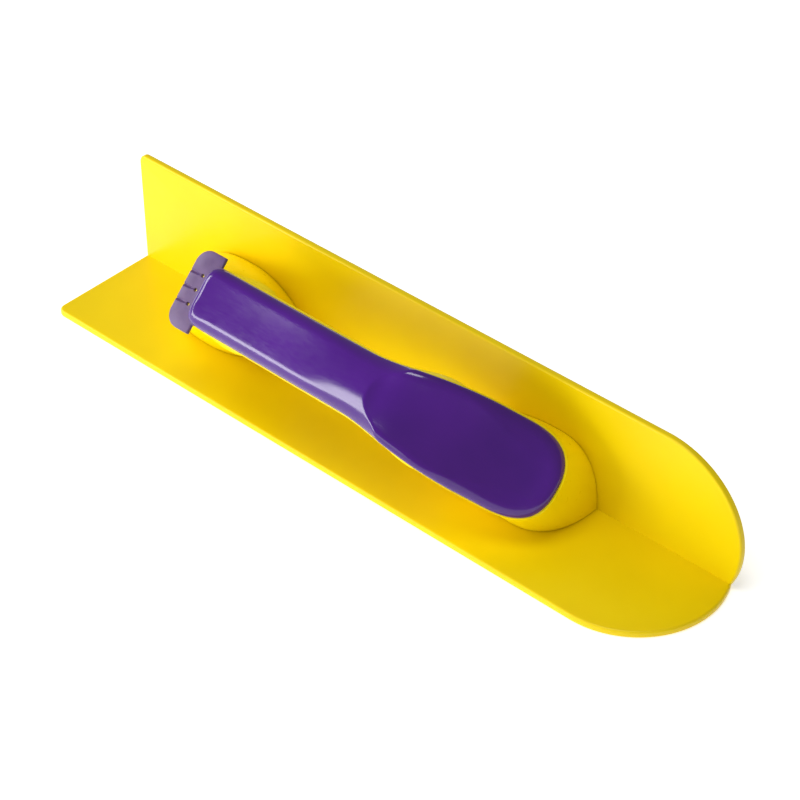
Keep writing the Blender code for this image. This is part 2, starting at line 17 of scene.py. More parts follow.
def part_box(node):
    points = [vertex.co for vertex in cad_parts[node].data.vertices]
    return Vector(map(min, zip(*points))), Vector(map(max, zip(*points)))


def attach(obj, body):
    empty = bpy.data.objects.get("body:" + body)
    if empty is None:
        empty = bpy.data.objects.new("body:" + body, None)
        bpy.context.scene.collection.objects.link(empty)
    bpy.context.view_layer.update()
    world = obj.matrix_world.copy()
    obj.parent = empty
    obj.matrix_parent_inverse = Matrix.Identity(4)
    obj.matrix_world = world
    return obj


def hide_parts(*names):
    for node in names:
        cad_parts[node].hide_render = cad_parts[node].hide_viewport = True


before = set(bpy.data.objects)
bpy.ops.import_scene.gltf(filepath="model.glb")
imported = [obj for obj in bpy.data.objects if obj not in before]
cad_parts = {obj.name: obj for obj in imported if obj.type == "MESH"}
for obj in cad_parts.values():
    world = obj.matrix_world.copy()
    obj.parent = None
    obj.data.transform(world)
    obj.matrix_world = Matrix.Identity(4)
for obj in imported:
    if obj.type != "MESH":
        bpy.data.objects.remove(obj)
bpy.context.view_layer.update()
print("pieces in the frame:", ", ".join(sorted(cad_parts)))

# %% [markdown]
# ## The tool's own axes
# The tool lies on its lower wing, so its handle points up at 45 degrees. It is much easier to draw the
# tool square to itself: X along the crease from the rear edge, Y across the handle, and Z from the
# crease out between the wings. One matrix turns that into the frame, and it is applied to the mesh of
# each finished piece, so every object stays at the origin.

# %% Tool axes from the blade's own box
MM = 0.001
WING_THICKNESS = 3.0 * MM
LEAN = math.radians(45.0)
blade_low, blade_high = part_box("corner_blade")
WING_WIDTH = blade_high.z - WING_THICKNESS
CREASE_LENGTH = 2.0 * abs(blade_low.x)
TO_FRAME = Matrix.Translation((blade_low.x, blade_high.y - WING_THICKNESS, WING_THICKNESS))
TO_FRAME = TO_FRAME @ Matrix.Rotation(LEAN, 4, "X")
print("crease %.1f mm, wings %.1f mm wide" % (CREASE_LENGTH / MM, WING_WIDTH / MM))

# %% [markdown]
# ## Colours and shader nodes
# Screen colours are written as hex codes, and a renderer works with light, so one function turns the
# first into the second. Another adds any node with its settings, its values and its links, which keeps
# each material short enough to read.

# %% Colour and node helpers


def light_from_hex(code):
    """Linear colour of an sRGB hex code."""
    shares = [int(code[start:start + 2], 16) / 255.0 for start in (1, 3, 5)]
    linear = [s / 12.92 if s <= 0.04045 else ((s + 0.055) / 1.055) ** 2.4 for s in shares]
    return (*linear, 1.0)


def set_inputs(tree, node, inputs):
    """Gives each input a value, or a link from another node's output."""
    for key, value in inputs.items():
        if isinstance(value, bpy.types.NodeSocket):
            tree.links.new(value, node.inputs[key])
        else:
            node.inputs[key].default_value = value


def add_node(tree, kind, inputs=None, **settings):
    node = tree.nodes.new(kind)
    for key, value in settings.items():
        setattr(node, key, value)
    set_inputs(tree, node, inputs or {})
    return node


def new_material(name):
    """An empty material: its tree, its shader and its own coordinates in metres."""
    material = bpy.data.materials.new(name)
    material.use_nodes = True
    tree = material.node_tree
    shader = tree.nodes["Principled BSDF"]
    place = add_node(tree, "ShaderNodeTexCoord").outputs["Object"]
    print("material", name)
    return material, tree, shader, place


print("screen grey #808080 is %.3f of white as light" % light_from_hex("#808080")[0])

# %% [markdown]
# ## Patches, drifting colour and relief
# Three things keep a moulded surface from looking like a fill: its gloss comes in soft patches, its
# colour drifts between two close shades, and it isn't dead flat. All three start from a noise pattern
# whose scale is one over a real size, so each one is a short chain of nodes that any finish can use.

# %% Chains that the finishes share


def patches(tree, place, size, low=0.3, high=0.7, start=0.0, end=1.0, detail=2.0):
    """Soft patches of a size in metres. The noise from low to high is stretched to start and end."""
    cloud = add_node(tree, "ShaderNodeTexNoise", {"Vector": place, "Scale": 1.0 / size, "Detail": detail})
    stretched = add_node(tree, "ShaderNodeMapRange", {
        "Value": cloud.outputs["Fac"], "From Min": low, "From Max": high, "To Min": start, "To Max": end})
    return stretched.outputs["Result"]


def drifting_colour(tree, place, size, shades, low=0.3, high=0.7, detail=2.0):
    """Colour that drifts between two hex codes. A Mix node's colours are its inputs 6 and 7."""
    share = patches(tree, place, size, low, high, detail=detail)
    deep, bright = (light_from_hex(code) for code in shades)
    return add_node(tree, "ShaderNodeMix", {0: share, 6: deep, 7: bright}, data_type="RGBA").outputs[2]


def relief(tree, place, size, height, strength, detail=2.0, base=None):
    """Normals of a cloudy relief with a size and a height in metres, and of the base below it."""
    cloud = add_node(tree, "ShaderNodeTexNoise", {"Vector": place, "Scale": 1.0 / size, "Detail": detail})
    inputs = {"Height": cloud.outputs["Fac"], "Strength": strength, "Distance": height}
    if base:
        inputs["Normal"] = base
    return add_node(tree, "ShaderNodeBump", inputs).outputs["Normal"]


print("chains for patches, drifting colour and relief")

# %% [markdown]
# ## Yellow polypropylene, satin moulded
# The blade and the handle come from one mould material: polypropylene, a waxy, slightly cloudy plastic
# that slides well over wet plaster. Its surface copies a fine-blasted steel mould, so a highlight on it
# is soft and wide, and light goes a little way in and glows back. The real grain is about a tenth of a
# millimetre, too fine to show, so it is drawn at 0.7 mm and very shallow. Broad, faint flow clouds come
# from the moulding. The mirror level is below its usual 0.5, because the flat wings would otherwise
# pick up too much white from the table.

# %% Yellow polypropylene
FLOW_CLOUD_SIZE = 38.0 * MM
MOTTLE_SIZE = 2.4 * MM
SWELL_SIZE = 11.0 * MM
SWELL_HEIGHT = 0.05 * MM
GRAIN_SIZE = 0.7 * MM
GRAIN_HEIGHT = 0.012 * MM
GLOW_DEPTH = 1.2 * MM


def satin_polypropylene(name, shades, roughness):
    material, tree, shader, place = new_material(name)
    smoothest, roughest = roughness - 0.03, roughness + 0.04
    swell = relief(tree, place, SWELL_SIZE, SWELL_HEIGHT, 0.35, detail=1.0)
    set_inputs(tree, shader, {
        "Base Color": drifting_colour(tree, place, FLOW_CLOUD_SIZE, shades),
        "Roughness": patches(tree, place, MOTTLE_SIZE, start=smoothest, end=roughest, detail=3.0),
        "Normal": relief(tree, place, GRAIN_SIZE, GRAIN_HEIGHT, 0.25, base=swell),
        "IOR": 1.49, "Specular IOR Level": 0.24, "Subsurface Weight": 0.08,
        "Subsurface Radius": (1.0, 0.62, 0.10), "Subsurface Scale": GLOW_DEPTH})
    return material


blade_plastic = satin_polypropylene("yellow_polypropylene_blade", ("#E2C400", "#E8CB00"), 0.34)
# The handle's two shades are a step lighter than the blade's, though both are one plastic. This is painted
# light: the lighter colour stands in for the light that falls on the handle's feet.
handle_plastic_painted_light = satin_polypropylene("yellow_polypropylene_handle_painted_light", ("#F6DC00", "#FBE100"), 0.30)

# %% [markdown]
# ## Purple ABS, polished mould
# The lid is a harder plastic, ABS, from a polished mould: a dark body colour under a sharp, bright
# highlight. No moulding is dead flat, so a very low, wide ripple bends the highlight's edge, and a few
# hair-fine rub marks from packing break its evenness.

# %% Purple ABS
LID_CLOUD_SIZE = 30.0 * MM
RUB_WIDTH = 0.5 * MM
RIPPLE_SIZE = 7.0 * MM
RIPPLE_HEIGHT = 0.03 * MM


def polished_abs(name, shades):
    material, tree, shader, place = new_material(name)
    stretched = add_node(tree, "ShaderNodeMapping", {
        "Vector": place, "Rotation": (0.5, 0.2, 0.35), "Scale": (0.08, 1.0, 1.0)}).outputs["Vector"]
    set_inputs(tree, shader, {
        "Base Color": drifting_colour(tree, place, LID_CLOUD_SIZE, shades, 0.32, 0.68),
        "Roughness": patches(tree, stretched, RUB_WIDTH, 0.35, 0.75, 0.13, 0.21),
        "Normal": relief(tree, place, RIPPLE_SIZE, RIPPLE_HEIGHT, 0.25, detail=1.0), "IOR": 1.54})
    return material


cover_plastic = polished_abs("purple_abs_lid", ("#3E0A70", "#460E7A"))

# %% [markdown]
# ## Lilac tab, thin and see-through
# The tab behind the lid is so thin that light comes through it, and the yellow below warms its edges.
# Part of the light is let through a rough surface, and the rest scatters back as a greyish lilac.

# %% Lilac translucent plastic
TAB_CLOUD_SIZE = 6.0 * MM
TAB_GRAIN_SIZE = 1.1 * MM
TAB_GRAIN_HEIGHT = 0.02 * MM


def translucent_plastic(name, shades):
    material, tree, shader, place = new_material(name)
    set_inputs(tree, shader, {
        "Base Color": drifting_colour(tree, place, TAB_CLOUD_SIZE, shades),
        "Normal": relief(tree, place, TAB_GRAIN_SIZE, TAB_GRAIN_HEIGHT, 0.2),
        "IOR": 1.49, "Roughness": 0.38, "Transmission Weight": 0.35})
    return material


tab_plastic = translucent_plastic("lilac_translucent_tab", ("#61477B", "#735A8D"))

# %% [markdown]
# ## Zinc-plated steel
# The screws are plated: a pale, slightly yellow metal with a faint patchy bloom. They sit inside the
# closed handle, but a model that is opened up should still look right.

# %% Zinc plate
BLOOM_SIZE = 0.9 * MM


def zinc_plate(name, shades):
    material, tree, shader, place = new_material(name)
    set_inputs(tree, shader, {
        "Base Color": drifting_colour(tree, place, BLOOM_SIZE, shades, 0.35, 0.7, 3.0),
        "Roughness": patches(tree, place, BLOOM_SIZE, start=0.26, end=0.42, detail=3.0),
        "Metallic": 1.0})
    return material


screw_metal = zinc_plate("zinc_plated_steel", ("#B9BABD", "#CFCBBE"))

# %% [markdown]
# ## Making and cutting solids
# Most pieces start as a bmesh, Blender's mesh while it is being edited. The helpers turn one into an
# object, run its modifiers and keep their result as plain mesh, round its sharp edges, and join or cut
# two pieces with a boolean. Nearly every cutter is a prism, a flat outline pushed straight.

# %% Mesh and boolean helpers
SHARP_EDGE = math.radians(60.0)


def object_from(builder, name):
    mesh = bpy.data.meshes.new(name)
    builder.to_mesh(mesh)
    builder.free()
    piece = bpy.data.objects.new(name, mesh)
    bpy.context.scene.collection.objects.link(piece)
    return piece

def closed_object(builder, name):
    """The same for a closed solid, with its faces turned outwards."""
    bmesh.ops.recalc_face_normals(builder, faces=builder.faces)
    return object_from(builder, name)


def applied(piece):
    """The piece with its modifiers turned into plain mesh."""
    bpy.context.view_layer.update()
    graph = bpy.context.evaluated_depsgraph_get()
    mesh = bpy.data.meshes.new_from_object(piece.evaluated_get(graph))
    piece.modifiers.clear()
    piece.data = mesh
    return piece


def combined(piece, other, operation):
    """Piece and other joined, or cut from each other. The other one is used up."""
    modifier = piece.modifiers.new("combine", "BOOLEAN")
    modifier.operation = operation
    modifier.solver = "EXACT"
    modifier.object = other
    applied(piece)
    bpy.data.objects.remove(other, do_unlink=True)
    return piece

def round_edges(piece, width, segments):
    """A Bevel on the sharp edges, which leaves the facets of a drawn curve alone."""
    rounded = piece.modifiers.new("rounded", "BEVEL")
    rounded.width = width
    rounded.segments = segments
    rounded.limit_method = "ANGLE"
    rounded.angle_limit = SHARP_EDGE


def prism(outline, offset, name="cutter"):
    """Closed solid: a flat outline pushed along the offset."""
    builder = bmesh.new()
    face = builder.faces.new([builder.verts.new(point) for point in outline])
    pushed = bmesh.ops.extrude_face_region(builder, geom=[face])
    corners = [item for item in pushed["geom"] if isinstance(item, bmesh.types.BMVert)]
    bmesh.ops.translate(builder, verts=corners, vec=offset)
    return closed_object(builder, name)


print("edges sharper than %.0f degrees can be rounded" % math.degrees(SHARP_EDGE))

# %% [markdown]
# ## The blade
# Each wing is a flat 3 mm plate with a small corner radius at the rear and one big arc that turns the
# nose back to the crease. Both wings are the same, so one is drawn, its rim is rounded by a Bevel, and
# a Mirror cuts it at the crease and makes the other. The rounded rim matters more than it seems to: it
# carries the bright line that shows the blade's thickness.

# %% Wing outline
NOSE_RADIUS = 36.0 * MM
REAR_CORNER_RADIUS = 3.5 * MM
WING_EDGE_RADIUS = 0.9 * MM
NOSE_STEPS = 96
CORNER_STEPS = 12
WELD = 0.01 * MM


def arc_points(centre, radius, start, end, steps):
    angles = [start + (end - start) * step / steps for step in range(steps + 1)]
    return [(centre[0] + radius * math.cos(a), centre[1] + radius * math.sin(a)) for a in angles]


def wing_outline():
    overrun = 2.0 * WING_THICKNESS
    nose_height = WING_WIDTH - NOSE_RADIUS
    nose_centre = CREASE_LENGTH - math.sqrt(NOSE_RADIUS ** 2 - nose_height ** 2)
    last_angle = -math.asin((nose_height + overrun) / NOSE_RADIUS)
    corner = (REAR_CORNER_RADIUS, WING_WIDTH - REAR_CORNER_RADIUS)
    outline = [(0.0, -overrun)]
    outline += arc_points(corner, REAR_CORNER_RADIUS, math.pi, 0.5 * math.pi, CORNER_STEPS)
    outline += arc_points((nose_centre, nose_height), NOSE_RADIUS, 0.5 * math.pi, last_angle, NOSE_STEPS)
    return outline


print("wing outline has", len(wing_outline()), "points")

# %% Bevelled wing and its mirror image
blade = prism([(x, -reach, 0.0) for x, reach in wing_outline()], (0.0, 0.0, -WING_THICKNESS), "blade")
blade.data.transform(Matrix.Rotation(-LEAN, 4, "X"))
round_edges(blade, WING_EDGE_RADIUS, 6)
second = blade.modifiers.new("second_wing", "MIRROR")
second.use_axis = (False, True, False)
second.use_bisect_axis = (False, True, False)
second.use_bisect_flip_axis = (False, True, False)
second.merge_threshold = WELD
second.bisect_threshold = WELD
applied(blade)
print("blade has", len(blade.data.vertices), "points")

# %% [markdown]
# ## Bosses for the screws
# Three blocks stand in the crease under the handle's feet, each with a blind hole for a screw. They are
# hidden once the handle is on. Their places come from the screws in the frame.

# %% Bosses and their holes
BOSS_HEIGHT = 10.0 * MM
BOSS_HALF_WIDTH = 3.6 * MM
SINK = 1.0 * MM
SCREW_HOLE_RADIUS = 2.05 * MM
PILOT_DEPTH = 10.8 * MM
HOLE_STEPS = 48
SCREW_NODES = ("rear_screw", "middle_screw", "front_screw")


def lengthwise(section, start, length, name="cutter"):
    """Prism along the crease, from the outline of its cross-section."""
    return prism([(start, y, z) for y, z in section], (length, 0.0, 0.0), name)


def boss_block(along, half_width, height, sink, name):
    section = [
        (0.0, -sink), (half_width, half_width - sink), (half_width, height),
        (-half_width, height), (-half_width, half_width - sink)]
    return lengthwise(section, along - half_width, 2.0 * half_width, name)


def upright_cylinder(radius, low, high, along, name="cutter"):
    builder = bmesh.new()
    place = Matrix.Translation((along, 0.0, 0.5 * (low + high)))
    bmesh.ops.create_cone(
        builder, cap_ends=True, segments=HOLE_STEPS, radius1=radius, radius2=radius, depth=high - low,
        matrix=place)
    return object_from(builder, name)


screw_places = []
for node in SCREW_NODES:
    low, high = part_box(node)
    screw_places.append(0.5 * (low.x + high.x) - blade_low.x)
for along in screw_places:
    combined(blade, boss_block(along, BOSS_HALF_WIDTH, BOSS_HEIGHT, SINK, "boss"), "UNION")
    hole = upright_cylinder(SCREW_HOLE_RADIUS, BOSS_HEIGHT - PILOT_DEPTH, 2.0 * BOSS_HEIGHT, along)
    combined(blade, hole, "DIFFERENCE")
print("screws stand at", ", ".join("%.1f mm" % (along / MM) for along in screw_places))

# %% [markdown]
# ## Handing a piece over
# A finished piece gets its name, its one material and its place in the frame. Then it is hung on the body
# it rides on, and the measured pieces that it stands for are hidden. Its open edges are
# counted on the way: a closed solid has none.

# %% The finished blade


def finish_piece(piece, name, material, nodes, sharp_angle=40.0):
    """Puts a piece in the frame, in place of the CAD nodes that it stands for."""
    piece.name = name
    piece.data.name = name
    piece.data.transform(TO_FRAME)
    piece.data.materials.clear()
    piece.data.materials.append(material)
    piece.data.shade_smooth()
    piece.data.set_sharp_from_angle(angle=math.radians(sharp_angle))
    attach(piece, "root")
    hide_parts(*nodes)
    builder = bmesh.new()
    builder.from_mesh(piece.data)
    loose = sum(1 for edge in builder.edges if len(edge.link_faces) != 2)
    volume = builder.calc_volume() / MM ** 3 / 1000.0
    builder.free()
    piece.data.calc_loop_triangles()
    print("%s: %d triangles, %d open edges, %.1f cm3" % (
        name, len(piece.data.loop_triangles), loose, volume))
    return piece

finish_piece(blade, "moulded_blade", blade_plastic, ["corner_blade"])

# %% [markdown]
# ## The bar and its joint
# The handle is one hollow moulding: two feet on the crease and a bar between them, with the joint to
# the lid as its top edge. These are the lengths that the real tool's drawing would carry. The joint
# climbs slowly along the bar, then dips towards the nose. A mould's curves start and end level, which a
# smooth step does in one line.

# %% Lengths and curves of the bar
HANDLE_REAR = 38.6 * MM
NOSE_MARGIN = 60.4 * MM
BAR_WIDTH = 24.3 * MM
SPOON_WIDTH = 35.4 * MM
SPOON_NOSE_LENGTH = 18.6 * MM
FLARE_LENGTH = 46.5 * MM
FLARE_TO_SPOON_CENTRE = 7.5 * MM
LID_SETBACK = 45.0 * MM
RIM_STEP = 0.5 * MM
REAR_SEAM_HEIGHT = 64.5 * MM
NECK_SEAM_HEIGHT = 71.0 * MM
FRONT_SEAM_HEIGHT = 34.0 * MM
DIP_LENGTH = 57.0 * MM

HANDLE_FRONT = CREASE_LENGTH - NOSE_MARGIN
LID_REAR = HANDLE_REAR + LID_SETBACK
LID_FRONT = HANDLE_FRONT - RIM_STEP
SPOON_CENTRE = LID_FRONT - SPOON_NOSE_LENGTH
FLARE_END = SPOON_CENTRE - FLARE_TO_SPOON_CENTRE
FLARE_START = FLARE_END - FLARE_LENGTH
DIP_START = LID_FRONT - DIP_LENGTH
BODY_REAR = LID_REAR - RIM_STEP


def smooth_step(share):
    share = np.clip(share, 0.0, 1.0)
    return share * share * (3.0 - 2.0 * share)


def blend(start, end, share):
    return start + (end - start) * smooth_step(share)


def bar_seam(along):
    return blend(REAR_SEAM_HEIGHT, NECK_SEAM_HEIGHT, (along - LID_REAR) / (DIP_START - LID_REAR))


def seam_height(along):
    return blend(bar_seam(along), FRONT_SEAM_HEIGHT, (along - DIP_START) / DIP_LENGTH)


def grip_half_width(along):
    return 0.5 * blend(BAR_WIDTH, SPOON_WIDTH, (along - FLARE_START) / FLARE_LENGTH)


print("handle runs from %.1f to %.1f mm" % (HANDLE_REAR / MM, HANDLE_FRONT / MM))

# %% [markdown]
# ## A handle that flows from foot to bar
# Where a bar meets a leg, a moulding has no hard line: the steel of the mould is blended by hand. Three
# solids joined by a boolean would keep that line. So each of the three is written as a number that is
# positive inside it, and a smooth maximum adds a fillet where two of them meet. The fillet fades out
# near the joint with the lid, which has to keep its exact outline. The feet lean and narrow on the way
# up, and each ends in an arch that turns into the underside of the bar.

# %% The two feet as fields
BAR_DEPTH = 14.0 * MM
ARCH_RADIUS = 11.0 * MM
REAR_FOOT_LENGTH = 56.4 * MM
REAR_FOOT_WIDTH = 37.4 * MM
REAR_FOOT_CENTRE = 25.0 * MM
FRONT_FOOT_LENGTH = 53.6 * MM
FRONT_FOOT_WIDTH = 38.6 * MM
FOOT_FLARE_BOTTOM = 14.0 * MM
FOOT_FLARE_TOP = 44.0 * MM
SPOON_POWER = 2.4
REAR_POWER = 5.0
FOOT_BACK_POWER = 3.0
FOOT_FRONT_POWER = 1.8
REAR_FOOT_FRONT = HANDLE_REAR + REAR_FOOT_LENGTH
FRONT_FOOT_REAR = HANDLE_FRONT - FRONT_FOOT_LENGTH


def rounded_field(u, v, power, size):
    """Positive inside a rounded oblong with half sizes 1, and about a distance in metres."""
    return size * (1.0 - (np.abs(u) ** power + np.abs(v) ** power) ** (1.0 / power))


def arch_reach(height, ceiling):
    climb = np.clip(height - (ceiling - ARCH_RADIUS), 0.0, ARCH_RADIUS)
    return ARCH_RADIUS - np.sqrt(ARCH_RADIUS ** 2 - climb ** 2)


def rear_foot_field(x, y, z, inset):
    bar_half = 0.5 * BAR_WIDTH + RIM_STEP
    share = (z - FOOT_FLARE_BOTTOM) / (REAR_SEAM_HEIGHT - FOOT_FLARE_BOTTOM)
    width_share = (z - FOOT_FLARE_BOTTOM) / (FOOT_FLARE_TOP - FOOT_FLARE_BOTTOM)
    rear = blend(HANDLE_REAR, BODY_REAR, share) + inset
    centre = blend(HANDLE_REAR + REAR_FOOT_CENTRE, BODY_REAR + bar_half, share)
    front = REAR_FOOT_FRONT + arch_reach(z, REAR_SEAM_HEIGHT - BAR_DEPTH) - inset
    half_width = blend(0.5 * REAR_FOOT_WIDTH, bar_half, width_share) - inset
    half_length = np.where(x >= centre, front - centre, centre - rear)
    power = np.where(
        x >= centre, blend(FOOT_FRONT_POWER, REAR_POWER, share), blend(FOOT_BACK_POWER, REAR_POWER, share))
    return rounded_field((x - centre) / half_length, y / half_width, power, half_width)


def front_foot_field(x, y, z, inset):
    ceiling = seam_height(FRONT_FOOT_REAR) - BAR_DEPTH
    width_share = (z - FOOT_FLARE_BOTTOM) / (FRONT_SEAM_HEIGHT - FOOT_FLARE_BOTTOM)
    rear = FRONT_FOOT_REAR - arch_reach(z, ceiling) + inset
    half_width = blend(0.5 * FRONT_FOOT_WIDTH, 0.5 * SPOON_WIDTH + RIM_STEP, width_share) - inset
    half_length = np.where(x >= SPOON_CENTRE, HANDLE_FRONT - inset - SPOON_CENTRE, SPOON_CENTRE - rear)
    return rounded_field((x - SPOON_CENTRE) / half_length, y / half_width, SPOON_POWER, half_width)


print("finger gap is %.1f mm long" % ((FRONT_FOOT_REAR - REAR_FOOT_FRONT) / MM))

# %% The bar's field, and all three joined
BAR_SIDE_DEPTH = 4.0 * MM
BELLY_POWER = 2.4
FILLET = 9.0 * MM
LEAST_FILLET = 0.001 * MM
FILLET_BELOW_SEAM = 2.5 * MM
FILLET_GROWTH = 10.0 * MM
FILLET_REAR_FADE = 14.0 * MM
FILLET_FRONT_DELAY = 4.0 * MM
FILLET_FRONT_FADE = 20.0 * MM


def bar_field(x, y, z, inset):
    bar_half = 0.5 * BAR_WIDTH + RIM_STEP
    half_width = grip_half_width(x) + RIM_STEP - inset
    belly = BAR_DEPTH - BAR_SIDE_DEPTH - inset
    past_rear = np.maximum(BODY_REAR + bar_half - x, 0.0) / (bar_half - inset)
    past_front = np.maximum(x - SPOON_CENTRE, 0.0) / (HANDLE_FRONT - SPOON_CENTRE - inset)
    depth = np.maximum(seam_height(x) - BAR_SIDE_DEPTH - z, 0.0) / belly
    level = (np.abs(y) / half_width) ** REAR_POWER + past_rear ** REAR_POWER
    side = np.where(x < SPOON_CENTRE, level ** (BELLY_POWER / REAR_POWER), 0.0)
    nose = (np.abs(y) / half_width) ** SPOON_POWER + past_front ** SPOON_POWER
    side = np.where(x < SPOON_CENTRE, side, nose)
    return belly * (1.0 - (side + depth ** BELLY_POWER) ** (1.0 / BELLY_POWER))


def corner_fill(first, second, radius):
    """What a smooth maximum adds where two fields are close, and a smooth minimum takes away."""
    overlap = np.maximum(radius - np.abs(first - second), 0.0) / radius
    return 0.25 * radius * overlap ** 2


def handle_field(x, y, z, inset, fillet):
    """Smooth union of the two feet and the bar."""
    below_seam = smooth_step((seam_height(x) - z - FILLET_BELOW_SEAM) / FILLET_GROWTH)
    rear_share = smooth_step((x - BODY_REAR) / FILLET_REAR_FADE)
    front_share = 1.0 - smooth_step((x - FRONT_FOOT_REAR - FILLET_FRONT_DELAY) / FILLET_FRONT_FADE)
    radius = fillet * below_seam * rear_share * front_share + LEAST_FILLET
    bar = bar_field(x, y, z, inset)
    foot = np.maximum(rear_foot_field(x, y, z, inset), front_foot_field(x, y, z, inset))
    return np.maximum(bar, foot) + corner_fill(bar, foot, radius)


print("fillet between bar and feet up to %.0f mm" % (FILLET / MM))

# %% [markdown]
# ## Rings that fan round the two arches
# The handle is then skinned with rings. On a foot they lie level, along the bar they stand upright, and
# at each arch they fan from one to the other about the arch's centre, so the mesh follows the finger
# gap like ribs. Where each ring starts and ends, and how far it reaches to the side, is found by halving
# an interval until the field is zero.

# %% Ring stations
LOWEST_RING = -3.0 * MM
INSIDE_STEP = ARCH_RADIUS + 6.0 * MM


def ring_lines(level_steps, fan_steps, bar_steps):
    """Start point and direction of every ring, from the rear foot over the bar to the front foot."""
    rear_centre = (REAR_FOOT_FRONT + ARCH_RADIUS, REAR_SEAM_HEIGHT - BAR_DEPTH - ARCH_RADIUS)
    front_height = float(seam_height(FRONT_FOOT_REAR)) - BAR_DEPTH - ARCH_RADIUS
    front_centre = (FRONT_FOOT_REAR - ARCH_RADIUS, front_height)
    lines = []
    for step in range(level_steps):
        height = LOWEST_RING + (rear_centre[1] - LOWEST_RING) * step / level_steps
        lines.append((rear_centre[0], height, math.pi))
    for step in range(fan_steps):
        lines.append((*rear_centre, math.pi - 0.5 * math.pi * step / fan_steps))
    for step in range(bar_steps):
        share = step / bar_steps
        along = rear_centre[0] + (front_centre[0] - rear_centre[0]) * share
        lines.append((along, rear_centre[1] + (front_centre[1] - rear_centre[1]) * share, 0.5 * math.pi))
    for step in range(fan_steps):
        lines.append((*front_centre, 0.5 * math.pi - 0.5 * math.pi * step / fan_steps))
    for step in range(level_steps + 1):
        height = front_centre[1] + (LOWEST_RING - front_centre[1]) * step / level_steps
        lines.append((front_centre[0], height, 0.0))
    return lines

print("rear arch turns about a point %.1f mm above the crease" % (ring_lines(1, 1, 1)[1][1] / MM))

# %% Skin of the handle
FAR = 90.0 * MM
FAR_SIDE = 30.0 * MM
RIM_FADE = 5.0 * MM
RIM_ROUND = 0.35 * MM
ROOF = 0.05 * MM
SKIN_WELD = 0.002 * MM
SLIVER = 0.001 * MM


def halve(inside, outside, test, rounds=44):
    """Where the test turns from true to false between two sets of numbers."""
    for _ in range(rounds):
        middle = 0.5 * (inside + outside)
        good = test(middle)
        inside = np.where(good, middle, inside)
        outside = np.where(good, outside, middle)
    return 0.5 * (inside + outside)


def ring_skin(inset, fillet, roof, counts, points, rim_round):
    """Closed mesh of the handle, cut off at a roof that lies above the joint."""
    x0, z0, angle = np.array(ring_lines(*counts)).T
    dx, dz = np.cos(angle), np.sin(angle)

    def inside(reach):
        x, z = x0 + dx * reach, z0 + dz * reach
        solid = handle_field(x, 0.0 * x, z, inset, fillet) > 0.0
        return solid & (z < seam_height(x) + roof)

    middle = np.full_like(x0, INSIDE_STEP)
    near = halve(middle, 0.0 * middle, inside)
    far = halve(middle, np.full_like(x0, FAR), inside)
    share = 0.5 - 0.5 * np.cos(np.pi * np.arange(points + 1) / points)
    reach = near[:, None] + (far - near)[:, None] * share[None, :]
    x = x0[:, None] + dx[:, None] * reach
    z = z0[:, None] + dz[:, None] * reach

    def wide(y):
        return handle_field(x, y, z, inset, fillet) > 0.0

    y = halve(0.0 * x, np.full_like(x, FAR_SIDE), wide)
    depth = np.clip(1.0 - (seam_height(x) - z) / max(rim_round, WELD), 0.0, 1.0)
    y -= rim_round * (1.0 - np.sqrt(1.0 - depth ** 2)) * np.clip(y / RIM_FADE, 0.0, 1.0)
    y[:, 0] = 0.0
    return x, y, z

def join_rings(builder, rings):
    """Faces between each ring of points and the next one."""
    count = len(rings[0])
    for here, after in zip(rings, rings[1:]):
        for index in range(count):
            following = (index + 1) % count
            builder.faces.new((here[index], here[following], after[following], after[index]))


def skin_object(x, y, z, name):
    builder = bmesh.new()
    rings = []
    for px, py, pz in zip(x, y, z):
        side = [builder.verts.new(point) for point in zip(px, py, pz)]
        other = [builder.verts.new(point) for point in zip(px, -py, pz)]
        rings.append(side + other[::-1])
    join_rings(builder, rings)
    builder.faces.new(rings[0])
    builder.faces.new(rings[-1][::-1])
    bmesh.ops.remove_doubles(builder, verts=builder.verts, dist=SKIN_WELD)
    bmesh.ops.dissolve_degenerate(builder, edges=builder.edges, dist=SLIVER)
    return closed_object(builder, name)


outside = ring_skin(inset=0.0, fillet=FILLET, roof=ROOF, counts=(44, 30, 60), points=44, rim_round=RIM_ROUND)
handle = skin_object(*outside, "handle")
print("handle skin has", len(handle.data.vertices), "points")

# %% [markdown]
# ## Cutting the handle to its seats
# The outside is whole now, and three cuts make it a moulding: the blade's two faces below, the joint
# with the lid above, with a step that holds the tab, and the hollow inside. The hollow is the same
# shape again, one wall thickness smaller. Pockets for the bosses and holes for the screws come last.

# %% Cutters for the seats
BODY_WALL = 2.4 * MM
FIT_GAP = 0.3 * MM
TONGUE_LENGTH = 8.0 * MM
TAB_THICKNESS = 1.8 * MM
BOSS_FLOOR = 3.0 * MM
TONGUE_END = LID_REAR + TONGUE_LENGTH
FLOOR_HEIGHT = BOSS_HEIGHT + FIT_GAP + BOSS_FLOOR
SEAM_STATIONS = 240
OVERCUT = 10.0 * MM


def seam_line(start, end, lift):
    places = np.linspace(start, end, SEAM_STATIONS)
    return [(float(x), float(seam_height(x)) + lift) for x in places]


def side_cutter(outline):
    """Cutter with this outline in side view, wider than the tool."""
    return prism([(x, -WING_WIDTH, z) for x, z in outline], (0.0, 2.0 * WING_WIDTH, 0.0))


def wedge_below(lift):
    """Everything on the blade's side of two planes above its wings."""
    apex = lift / math.sqrt(0.5)
    reach = WING_WIDTH
    section = [(0.0, apex), (reach, reach + apex), (reach, -reach), (-reach, -reach), (-reach, reach + apex)]
    start = HANDLE_REAR - OVERCUT
    return lengthwise(section, start, HANDLE_FRONT - start + OVERCUT)


